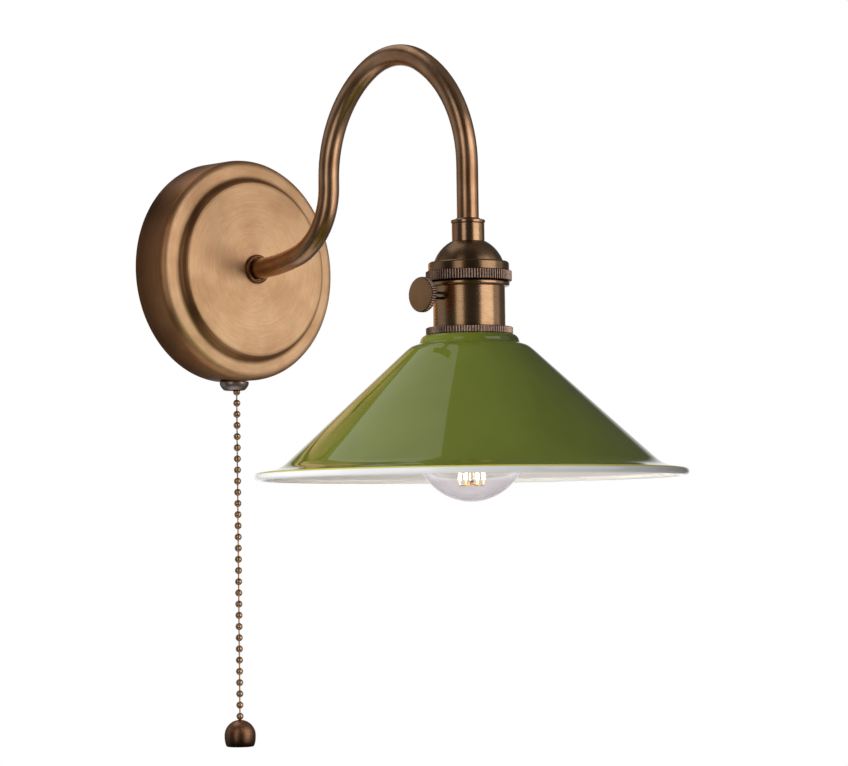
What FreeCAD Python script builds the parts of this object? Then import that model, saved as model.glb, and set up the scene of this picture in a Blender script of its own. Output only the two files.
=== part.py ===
import FreeCAD, Part
import math
import os
from FreeCAD import Rotation, Vector

# Gooseneck wall light with a pull switch in its canopy and a key switch in its lampholder.
# Millimetres. The wall is the plane y = 0, the room lies towards -Y, and +Z is up.
# The origin is the centre of the canopy, on the wall.

os.makedirs("parts", exist_ok=True)

# ---------------------------------------------------------------- driving dimensions
fit_gap = 0.1            # between a threaded piece and its hole
running_gap = 0.05       # radial, between a turning pin and its bearing
loose_gap = 0.3          # between pieces that move past each other

# canopy: a spun cup with a raised disc
canopy_d = 120.0
canopy_depth = 24.0
canopy_sheet = 1.2
canopy_edge_round = 3.0
disc_rise = 5.0
disc_front_d = 93.6
disc_foot_d = 99.2
disc_edge_round = 1.6
disc_foot_round = 2.0

# wall bracket
bracket_sheet = 1.5
bracket_height = 24.0
bracket_ear_height = 16.0
bracket_ear_reach = 13.0
bracket_ear_length = 8.0      # from the plate to the bend
bracket_ear_gap = 0.8         # ear to canopy wall
bracket_hook_inset = 4.8      # left ear to canopy wall
bracket_leg_width = 24.0
bracket_leg_top = 44.0
wall_slot_spacing = 60.0
wall_slot_length = 14.0
wall_slot_width = 5.0
canopy_screw_out = 8.0        # from the wall to the canopy screw's axis
canopy_screw_d = 3.6
canopy_screw_head_d = 7.8
canopy_screw_head_h = 2.2
canopy_screw_length = 8.0
hook_sheet = 1.2
hook_width = 8.0
hook_root_out = 10.0
hook_tip_rise = 1.5
bracket_screw_d = 3.4
bracket_screw_head_d = 6.4
bracket_screw_head_h = 2.0
earth_screw_x = -16.0

# terminal block: three ways, screwed on the bracket's leg
block_width = 30.0
block_height = 18.0
block_depth = 12.0
block_pitch = 10.0
block_foot_z = 22.0
block_foot_sheet = 2.0        # the tongue that the fixing screw holds
block_insert_d = 5.0
block_insert_bore_d = 3.4
block_screw_d = 2.9
block_screw_spacing = 9.0

# arm tube, along a line of tangent arcs: their radii and turns in degrees
tube_d = 11.06
tube_wall = 1.03
tapped_depth = 10.0
arm_root_r = 129.6
arm_root_turn = 15.27
arm_rise_r = 35.75
arm_rise_turn = 90.0 - arm_root_turn
arm_riser = 4.14
arm_over_r = 61.43
arm_over_turn = -62.94
arm_crown_r = 41.68
arm_crown_turn = -56.35
arm_drop_r = 65.49
arm_drop_turn = -180.0 - arm_over_turn - arm_crown_turn
arm_end_z = 4.0               # lower end of the tube, inside the neck collar

# M10 fittings
nipple_d = 9.8
nipple_bore_d = 7.0
nipple_length = 21.0
nipple_in_tube = 10.0
nut_across_flats = 14.0
nut_height = 3.5
washer_d = 18.0
washer_height = 1.0
ferrule_d = 15.8
ferrule_bore_d = 12.0
ferrule_height = 2.2
ferrule_round = 0.9

# flex and leads
flex_d = 5.2
core_d = 2.0
lead_bend = 5.0
lead_drop = 12.0              # below the terminal block, where the leads bend away
lead_rise = 12.5              # above the switch case, where they bend towards it

# pull switch
switch_y = -9.0               # axis of the bushing and of the bell nut
chain_y = -11.0               # the chain hangs forward of that axis
case_half_width = 15.0
case_front_y = -17.0
case_back_y = -2.0
case_above_wall = 4.3         # the case's foot to the canopy's inner wall
case_height = 28.0
case_wall = 1.5
cover_sheet = 1.2
bushing_d = 9.8
bushing_bore_d = 8.3
bushing_flange_d = 11.4
bushing_flange_h = 0.8
bushing_below_canopy = 3.4
bell_top_d = 15.9
bell_mouth_d = 10.3
bell_height = 5.3
bell_lip = 2.0                # the unthreaded mouth
bell_gap = 0.1
pull_travel = 7.5
slider_width = 7.0
slider_depth = 8.0
slider_height = 7.0
slider_lip = 0.5                 # under the chain's end bead
pawl_height = 1.2
pawl_reach = 0.8              # past the wheel's tooth tips
pawl_drop = 1.8               # slider's foot to the pawl's middle
wheel_teeth = 8
wheel_d = 8.8
wheel_root_d = 6.8
wheel_width = 4.0
wheel_tooth = 1.0
wheel_turn = 90.0             # of one full pull
axle_d = 2.0
spring_wire = 0.5
spring_d = 4.4
spring_turns = 6
contact_sheet = 0.6
contact_drop = 9.0

# pull chain
bead_d = 3.7
bead_pitch = 6.07
bead_bore_d = 1.2
link_d = 0.95
first_bead_drop = 0.4         # below the bell's mouth: the chain swings on this bead
hanging_beads = 29
upper_beads = 4
ball_d = 17.0
ball_flat_d = 13.8
ball_height = 14.6
ball_round = 0.8

# lampholder, on the arm's vertical end
collar_d = 16.5
collar_lip_d = 17.3
collar_lip_h = 1.7
collar_top_z = 12.3
collar_foot_z = 1.2
collar_step = 0.8             # small raised ring round the tube
cap_sphere_r = 18.44
cap_sphere_z = -14.8
cap_flange_d = 40.8
cap_flange_z = -9.0
cap_foot_z = -13.6
cap_sheet = 0.8
cap_round = 1.3
knurl_teeth = 96
knurl_depth = 0.6
cap_ring_wall = 2.5           # from the shell's neck to the ring's tooth tips
cap_ring_foot_z = -18.9
shell_neck_d = 38.4
shell_top_z = -11.0
shell_bead_d = 41.2
shell_bead_foot_z = -21.6
shell_d = 36.3
shell_foot_z = -60.0
shell_sheet = 0.8
shade_ring_d = 43.8
shade_ring_top_z = -42.0
shade_top_z = -45.6
shade_clamp_h = 4.0
shade_clamp_d = 42.6

# lampholder insides
liner_sheet = 0.5
core_d_out = 33.2
core_cover_top_z = -15.0
cover_screw_d = 2.4
cover_screw_length = 8.0
cover_screw_head_d = 4.6
cover_screw_head_h = 1.6
cover_lead_x = 7.0            # from the lamp axis to each hole for a core
flex_core_x = 1.3             # from the flex's middle to each of its cores
flex_core_straight = 2.2      # of the cores below the flex's end
cover_lead_rise = 2.6         # where the cores bend down, above the cover
core_split_z = -20.0
chamber_floor_z = -31.6
chamber_half_x = 10.0
chamber_half_y = 6.5
lamp_cup_top_z = -33.0
core_foot_z = -58.0
screw_shell_d = 28.4
screw_shell_sheet = 0.5
screw_shell_top_z = -37.0
cover_screw_y = 11.0
centre_leaf = 0.5
centre_leaf_length = 14.0
centre_leaf_width = 5.0

# key switch
key_z = -26.8
key_shaft_d = 4.0
key_knob_d = 17.7
key_knob_face = 33.5          # distance of the knob's face from the lamp axis
key_knob_h = 3.3
key_knob_round = 0.6
key_hub_d = 5.4
key_hub_h = 2.0
key_teeth = 42
key_rotor_d = 8.2
key_rotor_length = 12.0
key_rotor_flat = 3.3
key_contact_sheet = 0.6

# shade: spun steel cone
shade_sheet = 1.0
shade_hole_d = 37.0
shade_collar = [(22.6, -45.6), (24.5, -47.2), (25.3, -50.0)]   # (radius, z) of its outer face
shade_shoulder = [(29.3, -51.2), (32.1, -53.4)]
shade_rim_r = 109.0
shade_cone_inset = 13.1       # from the rim to the cone's foot
shade_lip_inset = 2.6         # from the rim to the lip's end, on the bead
shade_cone_foot_z = -111.9
shade_lip_foot_z = -113.9
shade_bead_d = 3.9

# bulb: a clear lamp with long filaments on a 27 mm screw cap
bulb_r = 28.0
bulb_foot_z = -129.5
bulb_neck_r = 12.4
bulb_glass_sheet = 0.9
bulb_shoulder_angle = 32.0    # of the flank to the lamp axis
bulb_neck_round = 24.0
bulb_cap_r = 13.1
bulb_cap_length = 23.5
bulb_tip_h = 1.0
bulb_insulator_h = 2.5
filament_d = 1.8
filament_above_foot = 8.5     # the filaments' foot over the bulb's
filament_length = 34.0
filament_count = 4
filament_foot_r = 6.8
filament_head_r = 4.6
wire_d = 0.6
filament_foot_z = bulb_foot_z + filament_above_foot
stem_d = 6.0
stem_length = 20.0
stem_taper = 4.0

# ---------------------------------------------------------------- derived places
canopy_r = canopy_d / 2
canopy_front = canopy_depth + disc_rise          # distance of the raised disc from the wall
canopy_inner_r = canopy_r - canopy_sheet
tube_r = tube_d / 2
nut_seat_out = canopy_front - canopy_sheet       # inner face of the raised disc
case_bottom_z = case_above_wall - canopy_inner_r
case_top_z = case_bottom_z + case_height
first_bead_z = -canopy_r - bell_gap - bell_height - first_bead_drop


def arm_course():
    """Centreline of the arm in (distance from the wall, height), as lines and arcs."""
    out, height, heading = canopy_front, 0.0, 0.0
    runs = []
    bends = [(arm_root_r, arm_root_turn), (arm_rise_r, arm_rise_turn), (None, arm_riser),
             (arm_over_r, arm_over_turn), (arm_crown_r, arm_crown_turn),
             (arm_drop_r, arm_drop_turn)]
    for radius, amount in bends:
        start = (out, height)
        if radius is None:
            end = (out + amount * math.cos(heading), height + amount * math.sin(heading))
            runs.append(("line", start, None, end))
        else:
            turn = math.radians(amount)
            side = math.copysign(1.0, turn)
            centre = (out - side * radius * math.sin(heading),
                      height + side * radius * math.cos(heading))
            points = []
            for part in (0.5, 1.0):
                angle = heading + turn * part
                points.append((centre[0] + side * radius * math.sin(angle),
                               centre[1] - side * radius * math.cos(angle)))
            runs.append(("arc", start, points[0], points[1]))
            heading += turn
            end = points[1]
        out, height = end
    runs.append(("line", (out, height), None, (out, arm_end_z)))
    return runs


arm_runs = arm_course()
lamp_out = arm_runs[-1][1][0]                    # distance of the lamp axis from the wall
lamp_axis = Vector(0, -lamp_out, 0)
pivot = Vector(0, chain_y, first_bead_z)
ball_top_z = first_bead_z - hanging_beads * bead_pitch - bead_d / 2
key_axis = Vector(0, -lamp_out, key_z)
core_r = core_d_out / 2
bulb_tip_z = lamp_cup_top_z - centre_leaf
UP, DOWN = Vector(0, 0, 1), Vector(0, 0, -1)
OUT, IN = Vector(0, -1, 0), Vector(0, 1, 0)
LEFT, RIGHT = Vector(-1, 0, 0), Vector(1, 0, 0)

nodes = {}


# ---------------------------------------------------------------- shaping helpers
class Mid(tuple):
    """A point that the run between its neighbours passes through as an arc."""


def rounded_runs(points, closed):
    """Edges through (a, b) points in the XZ plane; a third number rounds that corner."""
    corners = [p for p in points if not isinstance(p, Mid)]
    middles = {}
    for index, point in enumerate(points):
        if isinstance(point, Mid):
            middles[sum(1 for p in points[:index] if not isinstance(p, Mid)) - 1] = point
    count = len(corners)
    spots = [Vector(p[0], 0, p[1]) for p in corners]
    arrive, leave, edges = list(spots), list(spots), []
    for index, corner in enumerate(corners):
        if len(corner) < 3 or (not closed and index in (0, count - 1)):
            continue
        back = (spots[index - 1] - spots[index]).normalize()
        ahead = (spots[(index + 1) % count] - spots[index]).normalize()
        half = back.getAngle(ahead) / 2
        reach = corner[2] / math.tan(half)
        arrive[index] = spots[index] + back * reach
        leave[index] = spots[index] + ahead * reach
        inward = (back + ahead).normalize()
        crown = spots[index] + inward * (corner[2] / math.sin(half) - corner[2])
        edges.append((index - 0.5, Part.Arc(arrive[index], crown, leave[index]).toShape()))
    for index in range(count if closed else count - 1):
        start, end = leave[index], arrive[(index + 1) % count]
        if index in middles:
            through = Vector(middles[index][0], 0, middles[index][1])
            edges.append((index, Part.Arc(start, through, end).toShape()))
        elif start.distanceToPoint(end) > 1e-6:
            edges.append((index, Part.makeLine(start, end)))
    return [edge for _, edge in sorted(edges, key=lambda item: item[0])]


def placed(shape, along, at):
    """Turn a shape made round +Z to lie along another direction, then move it."""
    copy = shape.copy()
    copy.Placement = FreeCAD.Placement(at, Rotation(UP, along)).multiply(copy.Placement)
    return copy


def turned(points, along=UP, at=Vector(0, 0, 0)):
    """Solid of revolution from a closed outline of (radius, height along the axis)."""
    face = Part.Face(Part.Wire(rounded_runs(points, True)))
    return placed(face.revolve(Vector(0, 0, 0), UP, 360), along, at)


def spun_sheet(points, sheet, along=UP, at=Vector(0, 0, 0)):
    """Spun shell: the open outline is its outer face, and the sheet lies to one side."""
    course = Part.Wire(rounded_runs(points, False))
    face = course.makeOffset2D(sheet, join=2, fill=True, openResult=True)
    return placed(face.revolve(Vector(0, 0, 0), UP, 360), along, at)


def rod(radius, start, end):
    """Round bar between two points."""
    run = end - start
    return Part.makeCylinder(radius, run.Length, start, run)


def ring(outer_r, inner_r, start, end):
    """Round tube between two points."""
    return rod(outer_r, start, end).cut(rod(inner_r, start, end))


def box(x, y, z):
    """Block between the two values of each pair."""
    low = Vector(min(x), min(y), min(z))
    return Part.makeBox(abs(x[1] - x[0]), abs(y[1] - y[0]), abs(z[1] - z[0]), low)


def lead(points, radius, bend):
    """Round lead along straight runs joined by tangent arcs."""
    spots = [Vector(*p) for p in points]
    edges, here = [], spots[0]
    for before, corner, after in zip(spots, spots[1:], spots[2:]):
        back, ahead = (before - corner).normalize(), (after - corner).normalize()
        half = back.getAngle(ahead) / 2
        reach = bend / math.tan(half)
        start, end = corner + back * reach, corner + ahead * reach
        crown = corner + (back + ahead).normalize() * (bend / math.sin(half) - bend)
        edges += [Part.makeLine(here, start), Part.Arc(start, crown, end).toShape()]
        here = end
    edges.append(Part.makeLine(here, spots[-1]))
    return along_course(Part.Wire(edges), radius)


def along_course(course, radius):
    """Round bar swept along a wire."""
    start = course.Edges[0]
    heading = start.tangentAt(start.FirstParameter)
    section = Part.Wire(Part.makeCircle(radius, start.valueAt(start.FirstParameter), heading))
    return course.makePipeShell([section], True, False)


def hex_nut(seat, along):
    """M10 lock nut whose seat lies at a point, with chamfered corners."""
    corner_r = nut_across_flats / math.sqrt(3)
    spots = [Vector(corner_r * math.cos(math.radians(60 * n)),
                    corner_r * math.sin(math.radians(60 * n)), 0) for n in range(7)]
    nut = Part.Face(Part.makePolygon(spots)).extrude(Vector(0, 0, nut_height))
    drop = 0.6
    blank = turned([(0, 0), (corner_r, 0), (corner_r, nut_height - drop),
                    (nut_across_flats / 2, nut_height), (0, nut_height)])
    bore = rod(nipple_d / 2 + fit_gap, Vector(0, 0, -1), Vector(0, 0, nut_height + 1))
    return placed(nut.common(blank).cut(bore), along, seat)


def slotted_screw(shank_d, length, head_d, head_h, seat, out):
    """Domed screw: its head lies on the seat, its shank runs the other way."""
    head_r, shank_r = head_d / 2, shank_d / 2
    crown = head_h * 0.45
    body = turned([(0, -length), (shank_r, -length), (shank_r, 0), (head_r, 0),
                   (head_r, head_h - crown), Mid((head_r * 0.6, head_h - crown * 0.25)),
                   (0, head_h)])
    slot = box((-head_r - 1, head_r + 1), (-0.45, 0.45), (head_h * 0.5, head_h + 1))
    return placed(body.cut(slot), out, seat)


def knurled_ring(tip_r, bore_r, teeth, low_z, high_z, depth=knurl_depth):
    """Ring with straight V teeth, round the Z axis."""
    step = math.pi / teeth
    spots = [Vector((tip_r - depth * (n % 2)) * math.cos(step * n),
                    (tip_r - depth * (n % 2)) * math.sin(step * n), low_z)
             for n in range(2 * teeth)]
    blank = Part.Face(Part.makePolygon(spots + spots[:1])).extrude(Vector(0, 0, high_z - low_z))
    if bore_r == 0:
        return blank
    return blank.cut(rod(bore_r, Vector(0, 0, low_z - 1), Vector(0, 0, high_z + 1)))


def at_lamp(shape):
    """Move a piece made round the origin's Z axis to the lamp axis."""
    return placed(shape, UP, lamp_axis)


def coil(mean_r, wire_r, low, high, turns, at):
    """Round-wire spring whose end turns stand square to its axis."""
    pitch = (high - low - 2 * wire_r) / turns
    course = Part.makeHelix(pitch, pitch * turns, mean_r)
    section = Part.Wire(Part.makeCircle(wire_r, Vector(mean_r, 0, 0), IN))
    body = Part.Wire(course.Edges).makePipeShell([section], True, True)
    body.translate(at + Vector(0, 0, low + wire_r))
    return body


# ---------------------------------------------------------------- canopy and wall bracket
def canopy():
    front_r, foot_r = disc_front_d / 2, disc_foot_d / 2
    shell = spun_sheet([(canopy_r, 0), (canopy_r, canopy_depth, canopy_edge_round),
                        (foot_r, canopy_depth, disc_foot_round),
                        (front_r, canopy_front, disc_edge_round), (0.01, canopy_front)],
                       canopy_sheet, OUT)
    holes = [rod(nipple_d / 2 + fit_gap, Vector(0, 0, 0), OUT * (canopy_front + 1)),
             rod(bushing_d / 2 + fit_gap, Vector(0, switch_y, 0), Vector(0, switch_y, -canopy_d)),
             rod(canopy_screw_d / 2 + fit_gap, Vector(0, -canopy_screw_out, 0),
                 Vector(canopy_d, -canopy_screw_out, 0))]
    return shell.cut(holes)


def wall_bracket():
    sheet = bracket_sheet
    right_x = canopy_inner_r - bracket_ear_gap
    left_x = -(canopy_inner_r - bracket_hook_inset)
    half, ear = bracket_height / 2, bracket_ear_height / 2
    body = box((left_x, right_x), (-sheet, 0), (-ear, ear))
    body = body.fuse([box((left_x + bracket_ear_length, right_x - bracket_ear_length),
                          (-sheet, 0), (-half, half)),
                      box((-bracket_leg_width / 2, bracket_leg_width / 2), (-sheet, 0),
                          (0, bracket_leg_top)),
                      box((left_x, left_x + sheet), (-bracket_ear_reach, 0), (-ear, ear)),
                      box((right_x - sheet, right_x), (-bracket_ear_reach, 0), (-ear / 2, ear / 2))])
    slots = []
    for side in (-1, 1):
        x = side * wall_slot_spacing / 2
        straight = (wall_slot_length - wall_slot_width) / 2
        slots.append(box((x - straight, x + straight), (-sheet - 1, 1),
                         (-wall_slot_width / 2, wall_slot_width / 2)))
        slots += [rod(wall_slot_width / 2, Vector(x + end, 1, 0), Vector(x + end, -sheet - 1, 0))
                  for end in (-straight, straight)]
    window_gap = 0.6
    slots.append(box((left_x - 1, left_x + sheet + 1), hook_span(window_gap),
                     (-hook_width / 2 - window_gap, hook_width / 2 + window_gap)))
    slots.append(rod(canopy_screw_d / 2 + fit_gap, Vector(right_x - 4, -canopy_screw_out, 0),
                     Vector(right_x + 4, -canopy_screw_out, 0)))
    for x, z in bracket_screw_places():
        slots.append(rod(bracket_screw_d / 2 + fit_gap, Vector(x, 1, z), Vector(x, -sheet - 1, z)))
    return body.cut(slots).removeSplitter()


def bracket_screw_places():
    """Earth screw on the strip, and the screw that holds the terminal block's tongue."""
    return [(earth_screw_x, 0), (0, block_foot_z - bracket_screw_head_d / 2 - 1.0)]


def hook_span(gap):
    """Y range of the hook's tongue, opened by a gap on each side."""
    middle = -hook_root_out + hook_sheet + 2.0
    return (middle - hook_sheet / 2 - gap, middle + hook_sheet / 2 + gap)


def canopy_hook():
    wall_x = -math.sqrt(canopy_inner_r ** 2 - (hook_width / 2) ** 2)
    low, high = hook_span(0)
    half = hook_width / 2
    tongue_end = -(canopy_inner_r - bracket_hook_inset) + bracket_sheet + loose_gap + hook_sheet
    leg = box((wall_x, wall_x + hook_sheet), (low - 6.0, high), (-half, half))
    tongue = box((wall_x, tongue_end), (low, high), (-half, half))
    tip = box((tongue_end - hook_sheet, tongue_end), (low - hook_tip_rise, high), (-half, half))
    return leg.fuse([tongue, tip]).removeSplitter()


def canopy_screw():
    seat = Vector(canopy_r, -canopy_screw_out, 0)
    return slotted_screw(canopy_screw_d, canopy_screw_length, canopy_screw_head_d,
                         canopy_screw_head_h, seat, RIGHT)


def bracket_screws():
    screws = []
    for (x, z), lift in zip(bracket_screw_places(), (0, block_foot_sheet)):
        seat = Vector(x, -bracket_sheet - lift - (core_d if lift == 0 else 0), z)
        length = -seat.y - 0.2
        screws.append(slotted_screw(bracket_screw_d, length, bracket_screw_head_d,
                                    bracket_screw_head_h, seat, OUT))
    return Part.makeCompound(screws)


nodes["canopy"] = canopy()
nodes["wall_bracket"] = wall_bracket()
nodes["canopy_hook"] = canopy_hook()
nodes["canopy_screw"] = canopy_screw()
nodes["bracket_screws"] = bracket_screws()


# ---------------------------------------------------------------- terminal block
def block_poles():
    return [(n - 1) * block_pitch for n in range(3)]


block_back_y = -bracket_sheet
block_front_y = block_back_y - block_depth
block_axis_y = (block_back_y + block_front_y) / 2 - 0.5
block_top_z = block_foot_z + block_height
block_screw_zs = [(block_foot_z + block_top_z) / 2 + side * block_screw_spacing / 2
                  for side in (-1, 1)]


def terminal_block():
    half = block_width / 2
    body = box((-half, half), (block_back_y, block_front_y), (block_foot_z, block_top_z))
    notches = []
    for x in (-block_pitch / 2, block_pitch / 2):
        notches.append(box((x - 0.8, x + 0.8), (block_front_y - 1, block_front_y + 3),
                           (block_foot_z - 1, block_top_z + 1)))
    for x in block_poles():
        notches.append(rod(block_insert_d / 2 + fit_gap, Vector(x, block_axis_y, block_foot_z - 1),
                           Vector(x, block_axis_y, block_top_z + 1)))
        notches += [rod(block_screw_d / 2 + fit_gap, Vector(x, block_axis_y, z),
                        Vector(x, block_front_y - 1, z)) for z in block_screw_zs]
    tongue_r = bracket_screw_head_d / 2 + 1.0
    x, z = bracket_screw_places()[1]
    tongue = box((-tongue_r, tongue_r), (block_back_y, block_back_y - block_foot_sheet),
                 (z, block_foot_z))
    tongue = tongue.fuse(rod(tongue_r, Vector(x, block_back_y, z),
                             Vector(x, block_back_y - block_foot_sheet, z)))
    hole = rod(bracket_screw_d / 2 + fit_gap, Vector(x, 1, z), Vector(x, -canopy_depth, z))
    return body.cut(notches).fuse(tongue).cut(hole).removeSplitter()


def block_inserts():
    inserts = []
    for x in block_poles():
        low, high = Vector(x, block_axis_y, block_foot_z + 1), Vector(x, block_axis_y, block_top_z - 1)
        holes = [rod(block_screw_d / 2 + fit_gap, Vector(x, block_axis_y, z),
                     Vector(x, block_front_y, z)) for z in block_screw_zs]
        inserts.append(ring(block_insert_d / 2, block_insert_bore_d / 2, low, high).cut(holes))
    return Part.makeCompound(inserts)


def block_screws():
    screws = []
    for x in block_poles():
        for z in block_screw_zs:
            top = Vector(x, block_front_y + 0.8, z)
            tip = Vector(x, block_axis_y - core_d / 2 - 0.1, z)
            slot = box((x - 2, x + 2), (top.y - 1, top.y + 0.7), (z - 0.3, z + 0.3))
            screws.append(rod(block_screw_d / 2, tip, top).cut(slot))
    return Part.makeCompound(screws)


nodes["terminal_block"] = terminal_block()
nodes["block_inserts"] = block_inserts()
nodes["block_screws"] = block_screws()


# ---------------------------------------------------------------- arm
def arm_wire(first_out, last_z):
    """Arm centreline, stretched straight at its two ends."""
    edges = [Part.makeLine(Vector(0, -first_out, 0), Vector(0, -arm_runs[0][1][0], 0))] \
        if first_out < arm_runs[0][1][0] else []
    for kind, start, middle, end in arm_runs[:-1]:
        spots = [Vector(0, -p[0], p[1]) for p in (start, middle, end) if p]
        edges.append(Part.makeLine(*spots) if kind == "line" else Part.Arc(*spots).toShape())
    start = arm_runs[-1][1]
    edges.append(Part.makeLine(Vector(0, -start[0], start[1]), Vector(0, -start[0], last_z)))
    return Part.Wire(edges)


def arm_tube():
    course = arm_wire(canopy_front, arm_end_z)
    outside = along_course(course, tube_r)
    bore = along_course(course, tube_r - tube_wall)
    tapped_r = nipple_d / 2 + running_gap
    root, foot = Vector(0, -canopy_front, 0), Vector(0, -lamp_out, arm_end_z)
    taps = [rod(tapped_r, root + IN, root + OUT * tapped_depth),
            rod(tapped_r, foot + DOWN, foot + UP * tapped_depth)]
    return outside.cut(bore).cut(taps)


def nipples():
    """Threaded tubes: one holds the arm to the canopy, one holds the lampholder to the arm."""
    root = Vector(0, -canopy_front, 0)
    foot = Vector(0, -lamp_out, arm_end_z)
    rest = nipple_length - nipple_in_tube
    return Part.makeCompound([
        ring(nipple_d / 2, nipple_bore_d / 2, root + OUT * nipple_in_tube, root + IN * rest),
        ring(nipple_d / 2, nipple_bore_d / 2, foot + UP * nipple_in_tube, foot + DOWN * rest)])


def lock_washer():
    seat = OUT * nut_seat_out
    disc = ring(washer_d / 2, nipple_d / 2 + fit_gap, seat, seat + IN * washer_height)
    notches = []
    for n in range(10):
        notch = box((washer_d / 2 - 1.8, washer_d), (-1.0, 1.0), (-1, washer_height + 1))
        notch.rotate(Vector(0, 0, 0), UP, 36 * n)
        notches.append(placed(notch, IN, seat))
    return disc.cut(notches)


def lock_nuts():
    """Three M10 nuts: arm to canopy, pull switch to canopy, lampholder cap to its nipple."""
    arm_seat = OUT * (nut_seat_out - washer_height)
    switch_seat = Vector(0, switch_y, case_bottom_z - loose_gap)
    cap_seat = lamp_axis + Vector(0, 0, collar_foot_z - cap_sheet)
    return Part.makeCompound([hex_nut(arm_seat, IN), hex_nut(switch_seat, DOWN),
                              hex_nut(cap_seat, DOWN)])


def arm_ferrule():
    seat = OUT * canopy_front
    outer, inner = ferrule_d / 2, ferrule_bore_d / 2
    return turned([(inner, 0), (outer, 0), (outer, ferrule_height, ferrule_round),
                   (inner + 0.5, ferrule_height), (inner, ferrule_height - 0.5)], OUT, seat)


flex_start_out = canopy_front - (nipple_length - nipple_in_tube) - 3.0
flex_end_z = arm_end_z - (nipple_length - nipple_in_tube) - 1.0

nodes["arm_tube"] = arm_tube()
nodes["m10_nipples"] = nipples()
nodes["arm_lock_washer"] = lock_washer()
nodes["m10_lock_nuts"] = lock_nuts()
nodes["arm_ferrule"] = arm_ferrule()
nodes["arm_flex"] = along_course(arm_wire(flex_start_out, flex_end_z), flex_d / 2)


# ---------------------------------------------------------------- pull switch
case_inner_x = case_half_width - case_wall
case_inner_front = case_front_y + case_wall
case_inner_back = case_back_y - cover_sheet
case_floor_z = case_bottom_z + case_wall
case_roof_z = case_top_z - case_wall
rack_x = slider_width / 2
end_bead_z = first_bead_z + upper_beads * bead_pitch
slider_foot_z = end_bead_z - bead_d / 2 - running_gap - slider_lip
slider_top_z = slider_foot_z + slider_height
wheel_pitch_r = pull_travel / math.radians(wheel_turn)
wheel_x = rack_x + wheel_pitch_r
pawl_z = slider_foot_z + pawl_drop
wheel_z = pawl_z - pull_travel / 2
wheel_mid_y = chain_y
contact_xs = (wheel_x - 2.4, wheel_x + 3.6)


def switch_case():
    body = box((-case_half_width, case_half_width), (case_front_y, case_back_y),
               (case_bottom_z, case_top_z))
    cuts = [box((-case_inner_x, case_inner_x), (case_inner_front, case_back_y + 1),
                (case_floor_z, case_roof_z)),
            rod(bushing_d / 2 + fit_gap, Vector(0, switch_y, case_bottom_z - 1),
                Vector(0, switch_y, case_floor_z + 1)),
            rod(axle_d / 2 + running_gap, Vector(wheel_x, case_front_y + 0.5, wheel_z),
                Vector(wheel_x, case_back_y, wheel_z))]
    cuts += [rod(core_d / 2 + fit_gap, Vector(x + contact_sheet / 2, wheel_mid_y, case_roof_z - 1),
                 Vector(x + contact_sheet / 2, wheel_mid_y, case_top_z + 1)) for x in contact_xs]
    return body.cut(cuts)


def switch_cover():
    plate = box((-case_inner_x + fit_gap, case_inner_x - fit_gap), (case_inner_back, case_back_y),
                (case_floor_z + fit_gap, case_roof_z - fit_gap))
    return plate.cut(rod(axle_d / 2 + running_gap, Vector(wheel_x, case_inner_back - 1, wheel_z),
                         Vector(wheel_x, case_back_y - 0.4, wheel_z)))


def switch_bushing():
    foot_z = -canopy_r - bushing_below_canopy
    stem = ring(bushing_d / 2, bushing_bore_d / 2, Vector(0, switch_y, foot_z),
                Vector(0, switch_y, case_floor_z))
    flange = ring(bushing_flange_d / 2, bushing_bore_d / 2, Vector(0, switch_y, case_floor_z),
                  Vector(0, switch_y, case_floor_z + bushing_flange_h))
    return stem.fuse(flange).removeSplitter()


def bell_nut():
    top_r, mouth_r = bell_top_d / 2, bell_mouth_d / 2
    bore_r, thread_r = bushing_bore_d / 2 + 0.1, bushing_d / 2 + fit_gap
    depth = bell_height
    return turned([(thread_r, 0), (top_r, 0, 0.5), (top_r, -depth * 0.42),
                   Mid((top_r * 0.93, -depth * 0.72)), (mouth_r + 1.0, -depth),
                   (bore_r, -depth), (bore_r, -depth + bell_lip - 0.6),
                   (thread_r, -depth + bell_lip)],
                  UP, Vector(0, switch_y, -canopy_r - bell_gap))


def pull_slider():
    """Block that carries the chain's end bead in a keyhole, with the pawl on its side."""
    foot_z = slider_foot_z
    front_y = case_inner_front + loose_gap
    body = box((-rack_x, rack_x), (front_y, front_y + slider_depth), (foot_z, slider_top_z))
    bead_r = bead_d / 2 + 0.2
    pocket = [rod(bead_r, Vector(0, chain_y, foot_z + slider_lip),
                  Vector(0, chain_y, end_bead_z + bead_r)),
              box((-bead_r, bead_r), (chain_y, front_y - 1),
                  (foot_z + slider_lip, end_bead_z + bead_r)),
              rod(link_d / 2 + 0.2, Vector(0, chain_y, foot_z - 1), Vector(0, chain_y, end_bead_z)),
              box((-link_d / 2 - 0.2, link_d / 2 + 0.2), (chain_y, front_y - 1),
                  (foot_z - 1, end_bead_z))]
    pawl = box((rack_x, rack_x + wheel_pitch_r - wheel_d / 2 + pawl_reach),
               (wheel_mid_y - 1.2, wheel_mid_y + 1.2),
               (pawl_z - pawl_height / 2, pawl_z + pawl_height / 2))
    return body.cut(pocket).fuse(pawl).removeSplitter()


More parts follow.
